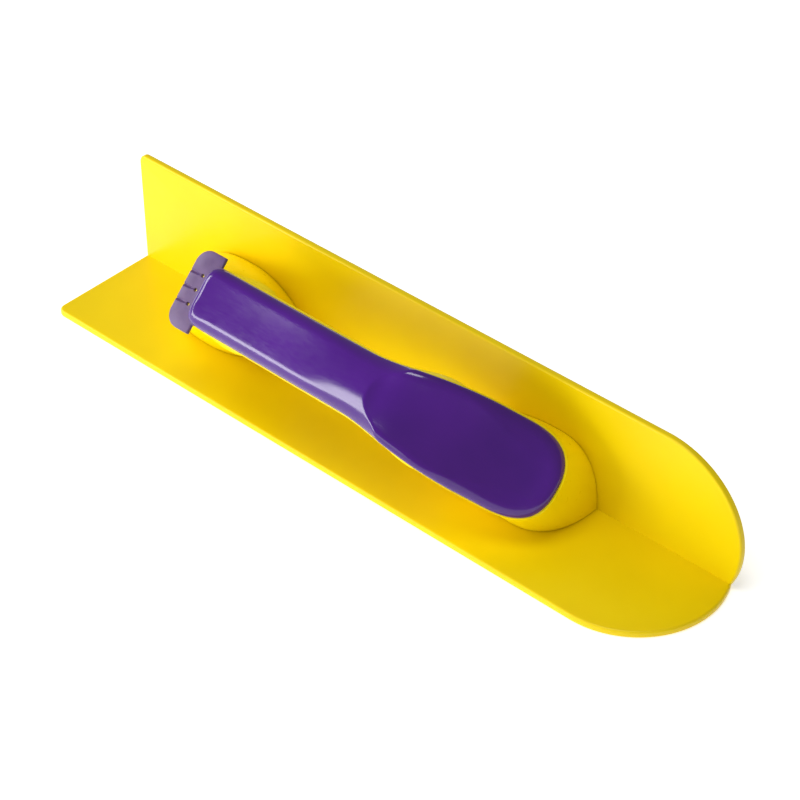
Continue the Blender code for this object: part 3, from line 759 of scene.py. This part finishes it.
def above_seam():
    low_end = REAR_SEAM_HEIGHT - TAB_THICKNESS - FIT_GAP
    stop = TONGUE_END + FIT_GAP
    roof = NECK_SEAM_HEIGHT + 2.0 * OVERCUT
    outline = [(HANDLE_REAR - OVERCUT, roof), (HANDLE_REAR - OVERCUT, low_end), (stop, low_end)]
    outline += seam_line(stop, HANDLE_FRONT + OVERCUT, 0.0)
    outline.append((HANDLE_FRONT + OVERCUT, roof))
    return side_cutter(outline)


def below_floor():
    """Block that keeps a solid floor under the hollow, for the screws to clamp."""
    section = [
        (-WING_WIDTH, -OVERCUT), (WING_WIDTH, -OVERCUT),
        (WING_WIDTH, FLOOR_HEIGHT), (-WING_WIDTH, FLOOR_HEIGHT)]
    return lengthwise(section, HANDLE_REAR, HANDLE_FRONT - HANDLE_REAR)


print("hollow starts %.1f mm above the crease" % (FLOOR_HEIGHT / MM))

# %% Seats, hollow, pockets and screw holes
combined(handle, wedge_below(FIT_GAP), "DIFFERENCE")
combined(handle, above_seam(), "DIFFERENCE")
inside = ring_skin(inset=BODY_WALL, fillet=0.0, roof=OVERCUT, counts=(22, 16, 24), points=20, rim_round=0.0)
hollow = skin_object(*inside, "hollow")
combined(hollow, wedge_below(FIT_GAP + BODY_WALL), "DIFFERENCE")
combined(hollow, below_floor(), "DIFFERENCE")
combined(handle, hollow, "DIFFERENCE")
for along in screw_places:
    pocket = boss_block(along, BOSS_HALF_WIDTH + FIT_GAP, BOSS_HEIGHT + FIT_GAP, OVERCUT, "pocket")
    combined(handle, pocket, "DIFFERENCE")
    hole = upright_cylinder(SCREW_HOLE_RADIUS, 0.0, FLOOR_HEIGHT + OVERCUT, along)
    combined(handle, hole, "DIFFERENCE")
finish_piece(handle, "hollow_handle", handle_plastic_painted_light, ["handle_body"], sharp_angle=32.0)

# %% [markdown]
# ## The lid
# The lid carries the hand. Along the bar it is a low crown with rounded shoulders, which bends more just
# before the neck. There a scoop cuts into it for the thumb: its floor falls away towards the nose and
# curves up to both sides, and where it meets the crown it leaves a crescent edge. Both shapes are
# heights above the crease, and the lower one wins, with the corner between them slightly rounded.

# %% Lid surface as a height
BAR_LID_RISE = 7.0 * MM
FRONT_LID_RISE = 3.6 * MM
LID_HEADROOM = 0.6 * MM
LID_SHOULDER = 4.5 * MM
LID_SKIRT = 1.0 * MM
LID_WALL = 1.6 * MM
CROWN_RADIUS = 110.0 * MM
NECK_CROWN_RADIUS = 24.0 * MM
NECK_BLEND_LENGTH = 36.0 * MM
NECK_RELEASE_LENGTH = 14.0 * MM
SCOOP_START = 176.5 * MM
SCOOP_CROSS_RADIUS = 46.0 * MM
SCOOP_DEPTH = 2.6 * MM
SCOOP_ONSET = 3.5 * MM
SCOOP_LENGTH = 54.0 * MM
SCOOP_DEEP_SHARE = 0.3
SCOOP_BACK_SLOPE = 0.35
CREST_ROUND = 0.35 * MM


def lid_rise(along):
    return blend(BAR_LID_RISE, FRONT_LID_RISE, (along - DIP_START) / DIP_LENGTH)


def crown_height(x, y):
    """Top of the bar, carried straight on past the neck."""
    share = smooth_step((x - SCOOP_START + NECK_BLEND_LENGTH) / NECK_BLEND_LENGTH)
    share = share * (1.0 - smooth_step((x - SCOOP_START) / NECK_RELEASE_LENGTH))
    bend = (1.0 - share) / CROWN_RADIUS + share / NECK_CROWN_RADIUS
    return bar_seam(x) + BAR_LID_RISE - 0.5 * bend * y ** 2


def scoop_height(x, y):
    """Floor of the thumb scoop, which follows the dip in the joint."""
    along = (x - SCOOP_START) / SCOOP_LENGTH
    onset = 1.0 - np.exp(-np.maximum(x - SCOOP_START, 0.0) / SCOOP_ONSET)
    release = smooth_step((along - SCOOP_DEEP_SHARE) / (1.0 - SCOOP_DEEP_SHARE))
    floor_line = seam_height(x) + lid_rise(x) - SCOOP_DEPTH * onset * (1.0 - release)
    early = np.maximum(SCOOP_START - x, 0.0)
    return floor_line + early * SCOOP_BACK_SLOPE + y ** 2 / (2.0 * SCOOP_CROSS_RADIUS)


def lid_top(x, y, edge, wall=0.0):
    """Height at a distance from the edge: the outer surface, or the inner one that lies a wall below."""
    crown, scoop = crown_height(x, y), scoop_height(x, y)
    top = np.minimum(crown, scoop) - corner_fill(crown, scoop, CREST_ROUND)
    top = np.minimum(top, seam_height(x) + lid_rise(x) + LID_HEADROOM)
    reach = LID_SHOULDER - wall
    shoulder = np.clip(top - seam_height(x) - LID_SKIRT, 0.0, LID_SHOULDER) * reach / LID_SHOULDER
    inward = np.clip(edge / reach, 0.0, 1.0)
    return top - wall - shoulder * (1.0 - np.sqrt(1.0 - (1.0 - inward) ** 2))


middle_height = lid_top(SPOON_CENTRE, 0.0, LID_SHOULDER) - seam_height(SPOON_CENTRE)
print("lid is %.1f mm high where the scoop is widest" % (float(middle_height) / MM))

# %% [markdown]
# ## The lid as a shell
# A moulded lid is a thin shell. Solidify would be the short way to it, but under an edge as sharp as the
# crescent it can push the inner surface through itself. So the surface is drawn twice, the second time
# one wall lower and further in, and a ring joins both at their feet. The points lie on rays from a spine
# to the outline, so that they follow the rounded ends.

# %% Lid outline, and its rays from a spine
LID_STATIONS = 200
LID_FAN_STEPS = 60


def super_point(angle, half_x, half_y, power):
    cosine, sine = math.cos(angle), math.sin(angle)
    x = half_x * math.copysign(abs(cosine) ** (2.0 / power), cosine)
    return x, half_y * math.copysign(abs(sine) ** (2.0 / power), sine)


def lid_rays(grow, rear):
    """Spine point and edge point of every ray, once round the outline."""
    half_bar = 0.5 * BAR_WIDTH
    rear_centre = rear + half_bar
    rays = []
    for step in range(LID_FAN_STEPS + 1):
        angle = math.radians(-90.0 + 180.0 * step / LID_FAN_STEPS)
        x, y = super_point(angle, SPOON_NOSE_LENGTH + grow, 0.5 * SPOON_WIDTH + grow, SPOON_POWER)
        rays.append((SPOON_CENTRE, SPOON_CENTRE + x, y))
    stations = np.linspace(rear_centre, SPOON_CENTRE, LID_STATIONS + 1)[1:-1]
    rays += [(x, x, float(grip_half_width(x)) + grow) for x in stations[::-1]]
    for step in range(LID_FAN_STEPS + 1):
        angle = math.radians(90.0 + 180.0 * step / LID_FAN_STEPS)
        x, y = super_point(angle, half_bar + grow, half_bar + grow, REAR_POWER)
        rays.append((rear_centre, rear_centre + x, y))
    rays += [(x, x, -float(grip_half_width(x)) - grow) for x in stations]
    return np.array(rays)

print("lid outline has", len(lid_rays(0.0, LID_REAR)), "rays")

# %% Outer and inner surface
SHOULDER_STEPS = 12
TOP_STEPS = 14
LID_WELD = 0.004 * MM


def lid_levels(wall):
    """Rings of points from below the joint up to the spine."""
    rays = lid_rays(-wall, LID_REAR)
    reach = LID_SHOULDER - wall
    edge_points = rays[:, 1:]
    spine = np.column_stack([rays[:, 0], 0.0 * rays[:, 0]])
    outward = (edge_points - spine) / np.linalg.norm(edge_points - spine, axis=1)[:, None]
    angles = 0.5 * np.pi * np.arange(SHOULDER_STEPS + 1) / SHOULDER_STEPS
    levels = [np.column_stack([edge_points, seam_height(edge_points[:, 0]) - LID_SHOULDER])]
    for inward in reach * (1.0 - np.cos(angles)):
        points = edge_points - outward * inward
        levels.append(np.column_stack([points, lid_top(points[:, 0], points[:, 1], inward, wall)]))
    rim_points = edge_points - outward * reach
    for step in range(1, TOP_STEPS + 1):
        points = rim_points + (spine - rim_points) * step / TOP_STEPS
        levels.append(np.column_stack([points, lid_top(points[:, 0], points[:, 1], reach, wall)]))
    return levels


def lid_shell():
    """Outer and inner surface, joined by a ring at their feet."""
    builder = bmesh.new()
    levels = lid_levels(0.0)[::-1] + lid_levels(LID_WALL)
    join_rings(builder, [[builder.verts.new(point) for point in level] for level in levels])
    bmesh.ops.remove_doubles(builder, verts=builder.verts, dist=LID_WELD)
    return closed_object(builder, "lid")


lid = lid_shell()
print("lid shell has", len(lid.data.vertices), "points")

# %% [markdown]
# ## The lid's trim and locating lip
# A cut along the joint trims the skirt, and a band inside drops into the handle, so that the lid can't
# slide. The band's top ends inside the lid's wall, where the union takes it in without a gap.

# %% Trim and lip
LIP_GAP = 0.5 * MM
LIP_WALL = 1.2 * MM
LIP_DEPTH = 4.0 * MM
LIP_TOP_SHARE = 0.65
trim = seam_line(LID_REAR - OVERCUT, HANDLE_FRONT + OVERCUT, FIT_GAP)
trim += [(HANDLE_FRONT + OVERCUT, FLOOR_HEIGHT), (LID_REAR - OVERCUT, FLOOR_HEIGHT)]
combined(lid, side_cutter(trim), "DIFFERENCE")


def lip_band():
    rear = TONGUE_END + 2.0 * FIT_GAP + BODY_WALL
    outer = lid_rays(RIM_STEP - BODY_WALL - LIP_GAP, rear)[::2]
    inner = lid_rays(RIM_STEP - BODY_WALL - LIP_GAP - LIP_WALL, rear)[::2]
    builder = bmesh.new()
    sections = []
    for (_, ox, oy), (_, ix, iy) in zip(outer, inner):
        top = float(lid_top(ox, oy, LID_SHOULDER)) - LIP_TOP_SHARE * LID_WALL
        bottom = float(seam_height(ox)) - LIP_DEPTH
        section = ((ox, oy, bottom), (ox, oy, top), (ix, iy, top), (ix, iy, bottom))
        sections.append([builder.verts.new(point) for point in section])
    corner_rings = list(zip(*sections))
    join_rings(builder, corner_rings + corner_rings[:1])
    return closed_object(builder, "lip")


combined(lid, lip_band(), "UNION")
finish_piece(lid, "scooped_lid", cover_plastic, ["grip_cover"], sharp_angle=50.0)

# %% [markdown]
# ## The tab behind the lid
# A thin plate is pinched between lid and handle and sticks out behind as a small round-cornered flange.
# Three needle holes stand in a row across it, each at the end of a groove that opens towards the rear
# edge. A row of equal features is a job for Geometry Nodes: one cutter is instanced on a line of points,
# made real, and taken out of the plate.

# %% Tab plate
TAB_REACH = 11.0 * MM
TAB_WIDTH = 32.2 * MM
TAB_CORNER_RADIUS = 6.0 * MM
TAB_CORNER_STEPS = 24
TAB_SHOULDER_LENGTH = 1.4 * MM
TAB_EDGE_RADIUS = 0.45 * MM
TAB_REAR = LID_REAR - TAB_REACH


def tab_plate():
    half, tongue_half = 0.5 * TAB_WIDTH, 0.5 * BAR_WIDTH
    corner = (TAB_REAR + TAB_CORNER_RADIUS, half - TAB_CORNER_RADIUS)
    shoulder = LID_REAR + TAB_SHOULDER_LENGTH
    upper = arc_points(corner, TAB_CORNER_RADIUS, math.pi, 0.5 * math.pi, TAB_CORNER_STEPS)
    upper += [(shoulder, half), (shoulder, tongue_half), (TONGUE_END, tongue_half)]
    outline = upper + [(x, -y) for x, y in reversed(upper)]
    low = REAR_SEAM_HEIGHT - TAB_THICKNESS
    plate = prism([(x, y, low) for x, y in outline], (0.0, 0.0, TAB_THICKNESS), "tab")
    round_edges(plate, TAB_EDGE_RADIUS, 4)
    return applied(plate)


tab = tab_plate()
print("tab plate has", len(tab.data.vertices), "points")

# %% One cutter: a needle hole with its groove
HOLE_RADIUS = 0.8 * MM
HOLE_SETBACK = 4.6 * MM
GROOVE_DEPTH = 0.8 * MM
GROOVE_WIDTH = 4.2 * MM


def needle_cutter():
    """Hole at the origin and a V groove that widens towards -X."""
    drill = upright_cylinder(HOLE_RADIUS, -2.0 * TAB_THICKNESS, TAB_THICKNESS, 0.0, "needle")
    length = TAB_REACH - HOLE_SETBACK + SINK
    builder = bmesh.new()
    for point in (
            (0.0, 0.0, -0.5 * GROOVE_DEPTH), (0.0, 0.0, GROOVE_DEPTH), (-length, 0.0, -GROOVE_DEPTH),
            (-length, 0.5 * GROOVE_WIDTH, GROOVE_DEPTH), (-length, -0.5 * GROOVE_WIDTH, GROOVE_DEPTH)):
        builder.verts.new(point)
    bmesh.ops.convex_hull(builder, input=builder.verts)
    return combined(drill, closed_object(builder, "groove"), "UNION")


needle = needle_cutter()
print("one cutter has", len(needle.data.vertices), "points")

# %% Helpers for geometry trees
MATHS = "ShaderNodeMath"


def new_tree(name, sizes):
    """Geometry tree with named inputs, and the outputs of its Group Input node."""
    tree = bpy.data.node_groups.new(name, "GeometryNodeTree")
    tree.interface.new_socket("Geometry", in_out="INPUT", socket_type="NodeSocketGeometry")
    tree.interface.new_socket("Geometry", in_out="OUTPUT", socket_type="NodeSocketGeometry")
    for label, kind in sizes.items():
        tree.interface.new_socket(label, in_out="INPUT", socket_type="NodeSocket" + kind)
    return tree, add_node(tree, "NodeGroupInput").outputs


def end_tree(tree, geometry, material):
    """Both trees end alike: real mesh instead of instances, in one material."""
    real = add_node(tree, "GeometryNodeRealizeInstances", {0: geometry}).outputs[0]
    painted = add_node(tree, "GeometryNodeSetMaterial", {"Geometry": real, "Material": material})
    add_node(tree, "NodeGroupOutput", {"Geometry": painted.outputs[0]})


def run_tree(piece, tree, values):
    """Runs a geometry tree on a piece, with its inputs set by the sockets' identifiers."""
    modifier = piece.modifiers.new(tree.name, "NODES")
    modifier.node_group = tree
    for item in tree.interface.items_tree:
        if item.in_out == "INPUT" and item.name in values:
            modifier[item.identifier] = values[item.name]
    return applied(piece)

print("two trees will share these helpers: needle_row and screw_row")

# %% Geometry Nodes row of cutters
NEEDLE_COUNT = 3
NEEDLE_PITCH = 6.0 * MM


def needle_row_tree():
    tree, given = new_tree("needle_row", {
        "Cutter": "Object", "Count": "Int", "Pitch": "Float", "Place": "Vector", "Material": "Material"})
    last = add_node(tree, MATHS, {0: given["Count"], 1: -1.0}, operation="ADD").outputs[0]
    half = add_node(tree, MATHS, {0: last, 1: -0.5}, operation="MULTIPLY").outputs[0]
    start = add_node(tree, MATHS, {0: half, 1: given["Pitch"]}, operation="MULTIPLY").outputs[0]
    offset = add_node(tree, "ShaderNodeCombineXYZ", {"Y": given["Pitch"]}).outputs[0]
    first = add_node(tree, "ShaderNodeCombineXYZ", {"Y": start}).outputs[0]
    at = add_node(tree, "ShaderNodeVectorMath", {0: first, 1: given["Place"]}, operation="ADD").outputs[0]
    line = add_node(tree, "GeometryNodeMeshLine", {
        "Count": given["Count"], "Start Location": at, "Offset": offset})
    cutter = add_node(tree, "GeometryNodeObjectInfo", {"Object": given["Cutter"]}).outputs["Geometry"]
    copies = add_node(tree, "GeometryNodeInstanceOnPoints", {"Points": line.outputs[0], "Instance": cutter})
    real = add_node(tree, "GeometryNodeRealizeInstances", {0: copies.outputs[0]}).outputs[0]
    cut = add_node(
        tree, "GeometryNodeMeshBoolean", {0: given["Geometry"], 1: real}, operation="DIFFERENCE")
    end_tree(tree, cut.outputs[0], given["Material"])
    return tree


run_tree(tab, needle_row_tree(), {
    "Cutter": needle, "Count": NEEDLE_COUNT, "Pitch": NEEDLE_PITCH,
    "Place": (LID_REAR - HOLE_SETBACK, 0.0, REAR_SEAM_HEIGHT), "Material": tab_plastic})
bpy.data.objects.remove(needle, do_unlink=True)
finish_piece(tab, "needle_tab", tab_plastic, ["rear_tab"], sharp_angle=30.0)

# %% [markdown]
# ## Self-tapping screws
# Each screw has a pan head with a cross recess and a coarse thread that bites into the boss. A thread
# is a rule: a point's angle and height say how far it stands out. Geometry Nodes push the shank's points
# out by that rule, and put the same screw on three points.

# %% Screw blank: turned head and shank
SCREW_RADIUS = 1.75 * MM
CORE_RADIUS = 1.25 * MM
SCREW_LENGTH = 12.0 * MM
TIP_LENGTH = 1.8 * MM
HEAD_RADIUS = 3.4 * MM
HEAD_HEIGHT = 2.4 * MM
HEAD_RIM_SHARE = 0.35
HEAD_STEPS = 12
THREAD_PITCH = 1.3 * MM
SHANK_RINGS = 90
TURN_STEPS = 36
CROSS_LENGTH = 3.8 * MM
CROSS_WIDTH = 0.9 * MM
CROSS_FLOOR = 1.0 * MM
CROSS_CUT = 4.0 * MM


def screw_blank():
    profile = []
    for step in range(HEAD_STEPS + 1):
        angle = 0.5 * math.pi * step / HEAD_STEPS
        height = HEAD_HEIGHT * (HEAD_RIM_SHARE + (1.0 - HEAD_RIM_SHARE) * math.cos(angle))
        profile.append((HEAD_RADIUS * math.sin(angle), height))
    profile.append((HEAD_RADIUS, 0.0))
    shank_end = TIP_LENGTH - SCREW_LENGTH
    profile += [(CORE_RADIUS, shank_end * step / SHANK_RINGS) for step in range(SHANK_RINGS + 1)]
    profile.append((0.0, -SCREW_LENGTH))
    builder = bmesh.new()
    corners = [builder.verts.new((radius, 0.0, height)) for radius, height in profile]
    edges = [builder.edges.new(pair) for pair in zip(corners, corners[1:])]
    bmesh.ops.spin(
        builder, geom=corners + edges, cent=(0, 0, 0), axis=(0, 0, 1), angle=2.0 * math.pi, steps=TURN_STEPS)
    bmesh.ops.remove_doubles(builder, verts=builder.verts, dist=WELD)
    blank = closed_object(builder, "screw_blank")
    signs = ((-1, -1), (1, -1), (1, 1), (-1, 1))
    for length, width in ((CROSS_LENGTH, CROSS_WIDTH), (CROSS_WIDTH, CROSS_LENGTH)):
        corners = [(sx * 0.5 * length, sy * 0.5 * width, CROSS_FLOOR) for sx, sy in signs]
        combined(blank, prism(corners, (0.0, 0.0, CROSS_CUT)), "DIFFERENCE")
    return blank


blank = screw_blank()
print("screw blank has", len(blank.data.vertices), "points")

# %% Thread and three screws by Geometry Nodes
THREAD_START = -0.5 * MM


def screw_row_tree():
    tree, given = new_tree("screw_row", {
        "Blank": "Object", "Pitch": "Float", "Thread Depth": "Float", "Thread Start": "Float",
        "Thread End": "Float", "Material": "Material"})
    place = add_node(tree, "GeometryNodeInputPosition").outputs[0]
    x, y, z = add_node(tree, "ShaderNodeSeparateXYZ", {0: place}).outputs
    angle = add_node(tree, MATHS, {0: y, 1: x}, operation="ARCTAN2").outputs[0]
    turned = add_node(tree, MATHS, {0: angle, 1: 2.0 * math.pi}, operation="DIVIDE").outputs[0]
    pitches = add_node(tree, MATHS, {0: z, 1: given["Pitch"]}, operation="DIVIDE").outputs[0]
    along = add_node(tree, MATHS, {0: pitches, 1: turned}, operation="SUBTRACT").outputs[0]
    crest = add_node(tree, MATHS, {0: along, 1: 0.5}, operation="PINGPONG").outputs[0]
    share = add_node(tree, MATHS, {0: crest, 1: 2.0}, operation="MULTIPLY").outputs[0]
    bulge = add_node(tree, MATHS, {0: share, 1: 2.0}, operation="POWER").outputs[0]
    height = add_node(tree, MATHS, {0: bulge, 1: given["Thread Depth"]}, operation="MULTIPLY").outputs[0]
    below_head = add_node(tree, MATHS, {0: z, 1: given["Thread Start"]}, operation="LESS_THAN").outputs[0]
    above_tip = add_node(tree, MATHS, {0: z, 1: given["Thread End"]}, operation="GREATER_THAN").outputs[0]
    shank = add_node(tree, MATHS, {0: below_head, 1: above_tip}, operation="MULTIPLY").outputs[0]
    radial = add_node(tree, "ShaderNodeCombineXYZ", {"X": x, "Y": y}).outputs[0]
    outward = add_node(tree, "ShaderNodeVectorMath", {0: radial}, operation="NORMALIZE").outputs[0]
    push = add_node(
        tree, "ShaderNodeVectorMath", {0: outward, "Scale": height}, operation="SCALE").outputs[0]
    body = add_node(tree, "GeometryNodeObjectInfo", {"Object": given["Blank"]}).outputs["Geometry"]
    threaded = add_node(tree, "GeometryNodeSetPosition", {
        "Geometry": body, "Selection": shank, "Offset": push})
    copies = add_node(tree, "GeometryNodeInstanceOnPoints", {
        "Points": given["Geometry"], "Instance": threaded.outputs[0]})
    end_tree(tree, copies.outputs[0], given["Material"])
    return tree


points = bmesh.new()
for along in screw_places:
    points.verts.new((along, 0.0, FLOOR_HEIGHT + FIT_GAP))
screws = run_tree(object_from(points, "screws"), screw_row_tree(), {
    "Blank": blank, "Pitch": THREAD_PITCH, "Thread Depth": SCREW_RADIUS - CORE_RADIUS,
    "Thread Start": THREAD_START, "Thread End": 0.5 * THREAD_PITCH + TIP_LENGTH - SCREW_LENGTH,
    "Material": screw_metal})
bpy.data.objects.remove(blank, do_unlink=True)
finish_piece(screws, "tapping_screws", screw_metal, SCREW_NODES, sharp_angle=30.0)

# %% [markdown]
# ## The table
# The tool stands alone on a wide pale sheet. The sheet has a little light of its own, like a light table,
# which keeps its shadows weak. It lies a hair below the blade's underside, because two faces in one
# plane flicker.

# %% Pale table
TABLE_GAP = 0.05 * MM
TABLE_HALF_WIDTH = 4.0
TABLE_GLOW = 0.5
PAPER_CLOUD_SIZE = 60.0 * MM
WHITE = (1.0, 1.0, 1.0, 1.0)


def pale_paper(name, shades):
    material, tree, shader, place = new_material(name)
    set_inputs(tree, shader, {
        "Base Color": drifting_colour(tree, place, PAPER_CLOUD_SIZE, shades),
        "Roughness": 0.85, "Specular IOR Level": 0.1,
        "Emission Color": WHITE, "Emission Strength": TABLE_GLOW})
    return material


builder = bmesh.new()
bmesh.ops.create_grid(builder, x_segments=1, y_segments=1, size=TABLE_HALF_WIDTH)
bmesh.ops.translate(builder, verts=builder.verts, vec=(0.0, 0.0, -TABLE_GAP))
table = object_from(builder, "pale_table")
table.data.materials.append(pale_paper("pale_paper", ("#F4F4F4", "#F7F7F6")))
print("table is", table.dimensions.x, "m wide")

# %% [markdown]
# ## The light
# The key light comes from behind on the left, so the handle's feet throw soft shadows along the crease.
# A low panel at the side draws the long highlight on the lid's lower shoulder, one above fills the
# wings, one in front opens the shadows, and a weak sky does the rest: a dim sky keeps the purple deep,
# because a glossy piece shows whatever it reflects.

# %% Soft lights and a weak sky
LIT_POINT = (0.0, 0.0, 0.03)
SKY_STRENGTH = 0.28


def aimed(name, data, place, target):
    """Object with a lamp or a lens that stands at a place and looks at a target."""
    holder = bpy.data.objects.new(name, data)
    holder.location = place
    holder.rotation_euler = (Vector(target) - Vector(place)).to_track_quat("-Z", "Y").to_euler()
    bpy.context.scene.collection.objects.link(holder)
    return holder


for name, place, size, watts in (
        ("key_light", (-1.00, -0.36, 0.50), (0.40, 0.35), 3.9),
        ("side_light", (-0.60, -0.80, 0.23), (0.70, 0.32), 6.4),
        ("top_light", (0.08, -0.25, 1.08), (0.50, 0.40), 4.6),
        ("fill_light", (0.10, -1.22, 0.16), (1.40, 0.35), 3.3)):
    lamp = bpy.data.lights.new(name, "AREA")
    lamp.shape = "RECTANGLE"
    lamp.size, lamp.size_y = size
    lamp.energy = watts
    aimed(name, lamp, place, LIT_POINT)
sky = bpy.data.worlds.new("light_tent")
sky.use_nodes = True
set_inputs(sky.node_tree, sky.node_tree.nodes["Background"], {"Color": WHITE, "Strength": SKY_STRENGTH})
bpy.context.scene.world = sky
print("four soft lights and a pale sky")

# %% [markdown]
# ## The camera
# A long lens from the front right keeps the wings' edges nearly parallel, and its height shows the top
# of the lid and the inside of both wings. The Standard view transform keeps the yellow strong, where
# Blender's default one pales it.

# %% Camera
CAMERA_PLACE = (0.49194, -0.52916, 0.60339)
CAMERA_TARGET = (0.0, 0.016465, 0.011139)
lens = bpy.data.cameras.new("camera")
lens.sensor_width = 36.0
lens.lens = 111.23
lens.clip_start = 0.01
lens.clip_end = 20.0
bpy.context.scene.camera = aimed("camera", lens, CAMERA_PLACE, CAMERA_TARGET)
bpy.context.scene.view_settings.view_transform = "Standard"
print("camera is %.2f m from the tool" % (Vector(CAMERA_PLACE) - Vector(CAMERA_TARGET)).length)
